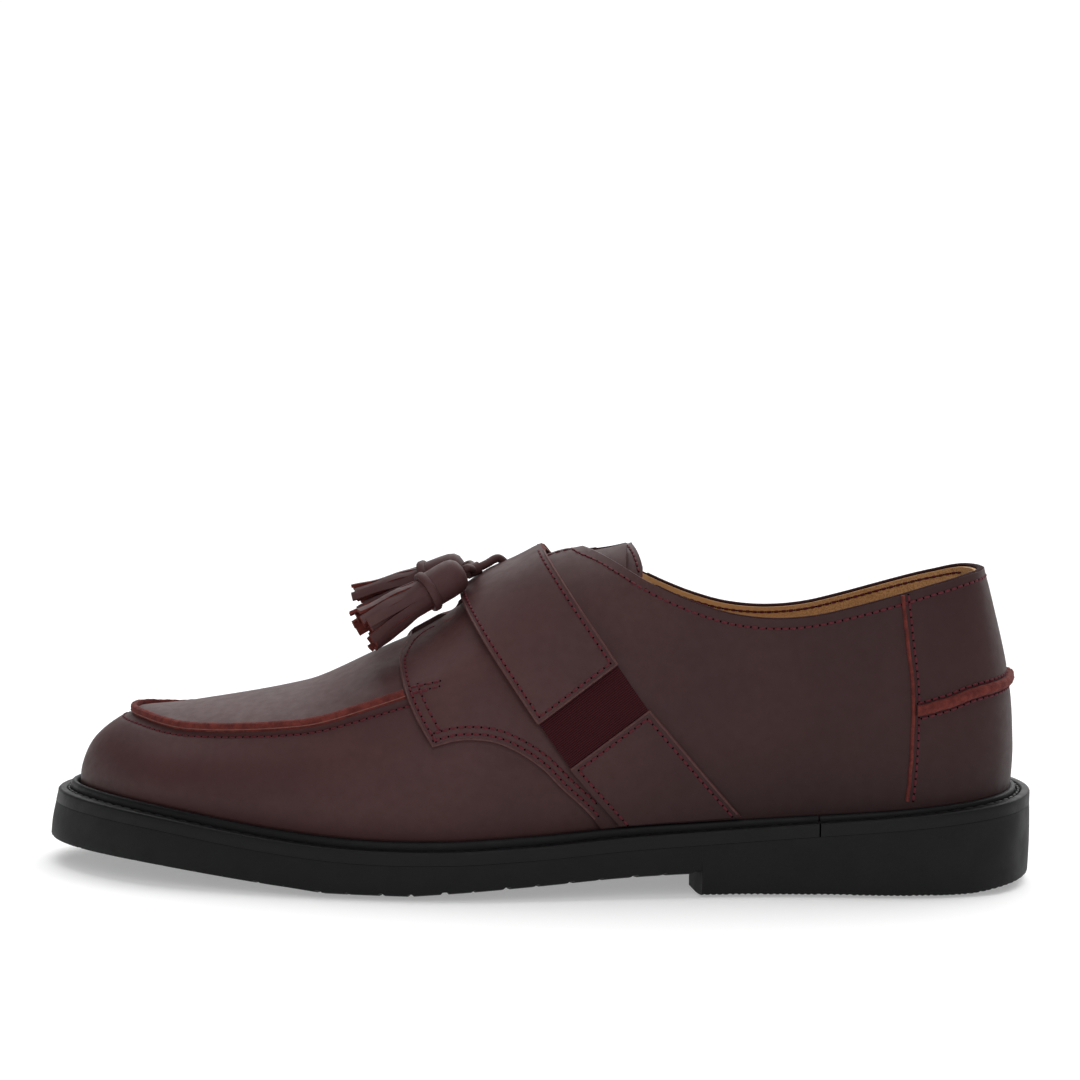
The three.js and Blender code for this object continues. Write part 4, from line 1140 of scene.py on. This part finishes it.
# Tassels: a rolled leather cap with a narrow band at its lower edge, and below it a long
# fringe, slit from one strip of leather and rolled up, so its raw red edges show at the end.
cap_radius = 5.6 * mm
cap_length = 14 * mm
knot = crown_points(turn_at(np.array([134 * mm - shoe_length / 2])), 0.0)[0] + np.array([0, 0, 7.6 * mm])
tassel_places = {
    "lateral": (np.array([-2.8, -10.8, 0.9]) * mm, math.radians(29), math.radians(20)),
    "medial": (np.array([-2.6, 7.2, 0.4]) * mm, math.radians(22), math.radians(-8)),
}


def joined(name, pieces):
    bpy.ops.object.select_all(action="DESELECT")
    for piece in pieces:
        piece.select_set(True)
    bpy.context.view_layer.objects.active = pieces[0]
    if len(pieces) > 1:
        bpy.ops.object.join()
    whole = bpy.context.object
    whole.name = whole.data.name = name
    return whole


def fringe_strip(name, arc, width, radii, start, length, sway, droop):
    """One slit strip, from under the cap to its free end, bent outwards and a little sideways."""
    rows = []
    for a in np.linspace(0.5, -0.5, 4):
        down = np.linspace(0, 1, 12)
        radius = radii[0] + (radii[1] - radii[0]) * down**1.4 + 0.25 * mm * np.sin(down * 9 + arc * 3)
        angle = arc + sway * down**1.5 + a * width / np.maximum(radius, 1.5 * mm)
        y = start + down * length
        rows.append(np.stack([np.sin(angle) * radius, y, np.cos(angle) * radius - droop * down**2], 1))
    piece = laid_grid(name, np.array(rows), leather, turn_out=False)
    piece.data.materials.append(raw_edge.material)
    modify(piece, "SOLIDIFY", thickness=1.0 * mm, offset=-1, material_offset=1, material_offset_rim=1)
    return piece


edge_rims = joined("edge_rims", rims)
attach(edge_rims, "root")

for side, (cap, lean_down, turn_out) in tassel_places.items():
    random = np.random.default_rng(5 if side == "lateral" else 9)
    profile = [(0, 0), (2.2, 0.1), (3.9, 0.7), (5.0, 1.9), (5.5, 3.6), (5.65, 6.5), (5.6, 9.5), (5.6, 11.3),
               (6.2, 11.5), (6.5, 12.0), (6.5, 13.4), (6.2, 13.9), (5.2, 14.1), (4.2, 13.6), (0, 13.4)]
    angles = np.linspace(0, 2 * math.pi, 41)
    rows = [np.stack([np.sin(angles) * r * mm, 0 * angles + y * mm, np.cos(angles) * r * mm], 1)
            for r, y in profile]
    pieces = [laid_grid("cap", np.array(rows), leather)]
    for count, radii, width, reach in ((13, (5.0, 7.3), 2.8, 22.0), (9, (3.7, 5.4), 3.1, 21.0),
                                       (6, (2.4, 3.7), 3.0, 20.0), (3, (1.2, 1.9), 2.4, 19.0)):
        for k in range(count):
            arc = 2 * math.pi * (k + 0.3 * random.random()) / count
            pieces.append(fringe_strip("strip", arc, width * mm * (0.9 + 0.2 * random.random()),
                                       [radii[0] * mm, (radii[1] + 0.7 * random.random() - 0.35) * mm],
                                       cap_length - 1.6 * mm,
                                       (reach + 2.4 * random.random()) * mm, 0.35 * (random.random() - 0.5),
                                       0.8 * mm * random.random()))
    tassel = joined(f"tassel_fringe_{side}", pieces)
    heading = Vector((-math.cos(lean_down) * math.cos(turn_out), -math.cos(lean_down) * math.sin(turn_out),
                      -math.sin(lean_down)))
    spin = Vector((0, 1, 0)).rotation_difference(heading).to_matrix().to_4x4()
    tassel.data.transform(Matrix.Translation(Vector(knot + cap)) @ spin)
    smooth(tassel, 40)
    hand_over(tassel, "leather", f"tassel_{side}")

# Tassel lace: a thin round lace from the strap through a small leather sleeve to each cap.
lace_radius = 1.3 * mm
strap_top = (1.2 + 0.3 + 2.4 + 0.3 + 1.3) / math.cos(math.radians(33)) * mm
seat = crown_points(turn_at(np.array([142.5 * mm - shoe_length / 2])), 0.0)[0] + np.array([0, 4.5 * mm, strap_top - 1.6 * mm])


def lace(name, points, radius, finish):
    path = spline(points, 24)
    lift = np.tile([0.0, 0.2, 1.0], (len(path), 1))
    return strip(name, path, lift, oval(radius, radius, 12), finish)


laces = [lace("stem", [seat + np.array([3.2, 1.2, -3.0]) * mm, seat, (seat + knot) / 2, knot], lace_radius, leather)]
for cap, lean_down, turn_out in tassel_places.values():
    heading = np.array([-math.cos(lean_down) * math.cos(turn_out), -math.cos(lean_down) * math.sin(turn_out),
                        -math.sin(lean_down)])
    end = knot + cap + heading * 0.2 * mm
    laces.append(lace("branch", [knot, end - heading * 2.0 * mm, end], lace_radius, leather))
half = (seat - knot) / np.linalg.norm(seat - knot) * 2.25 * mm
laces.append(lace("sleeve", [knot - half, knot, knot + half], 2.0 * mm, leather))
tassel_lace = joined("tassel_lace", laces)
hand_over(tassel_lace, "leather", "tassel_cord")

size = {"cad": [list(corner) for corner in cad_box], "visual": [list(corner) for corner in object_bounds()]}
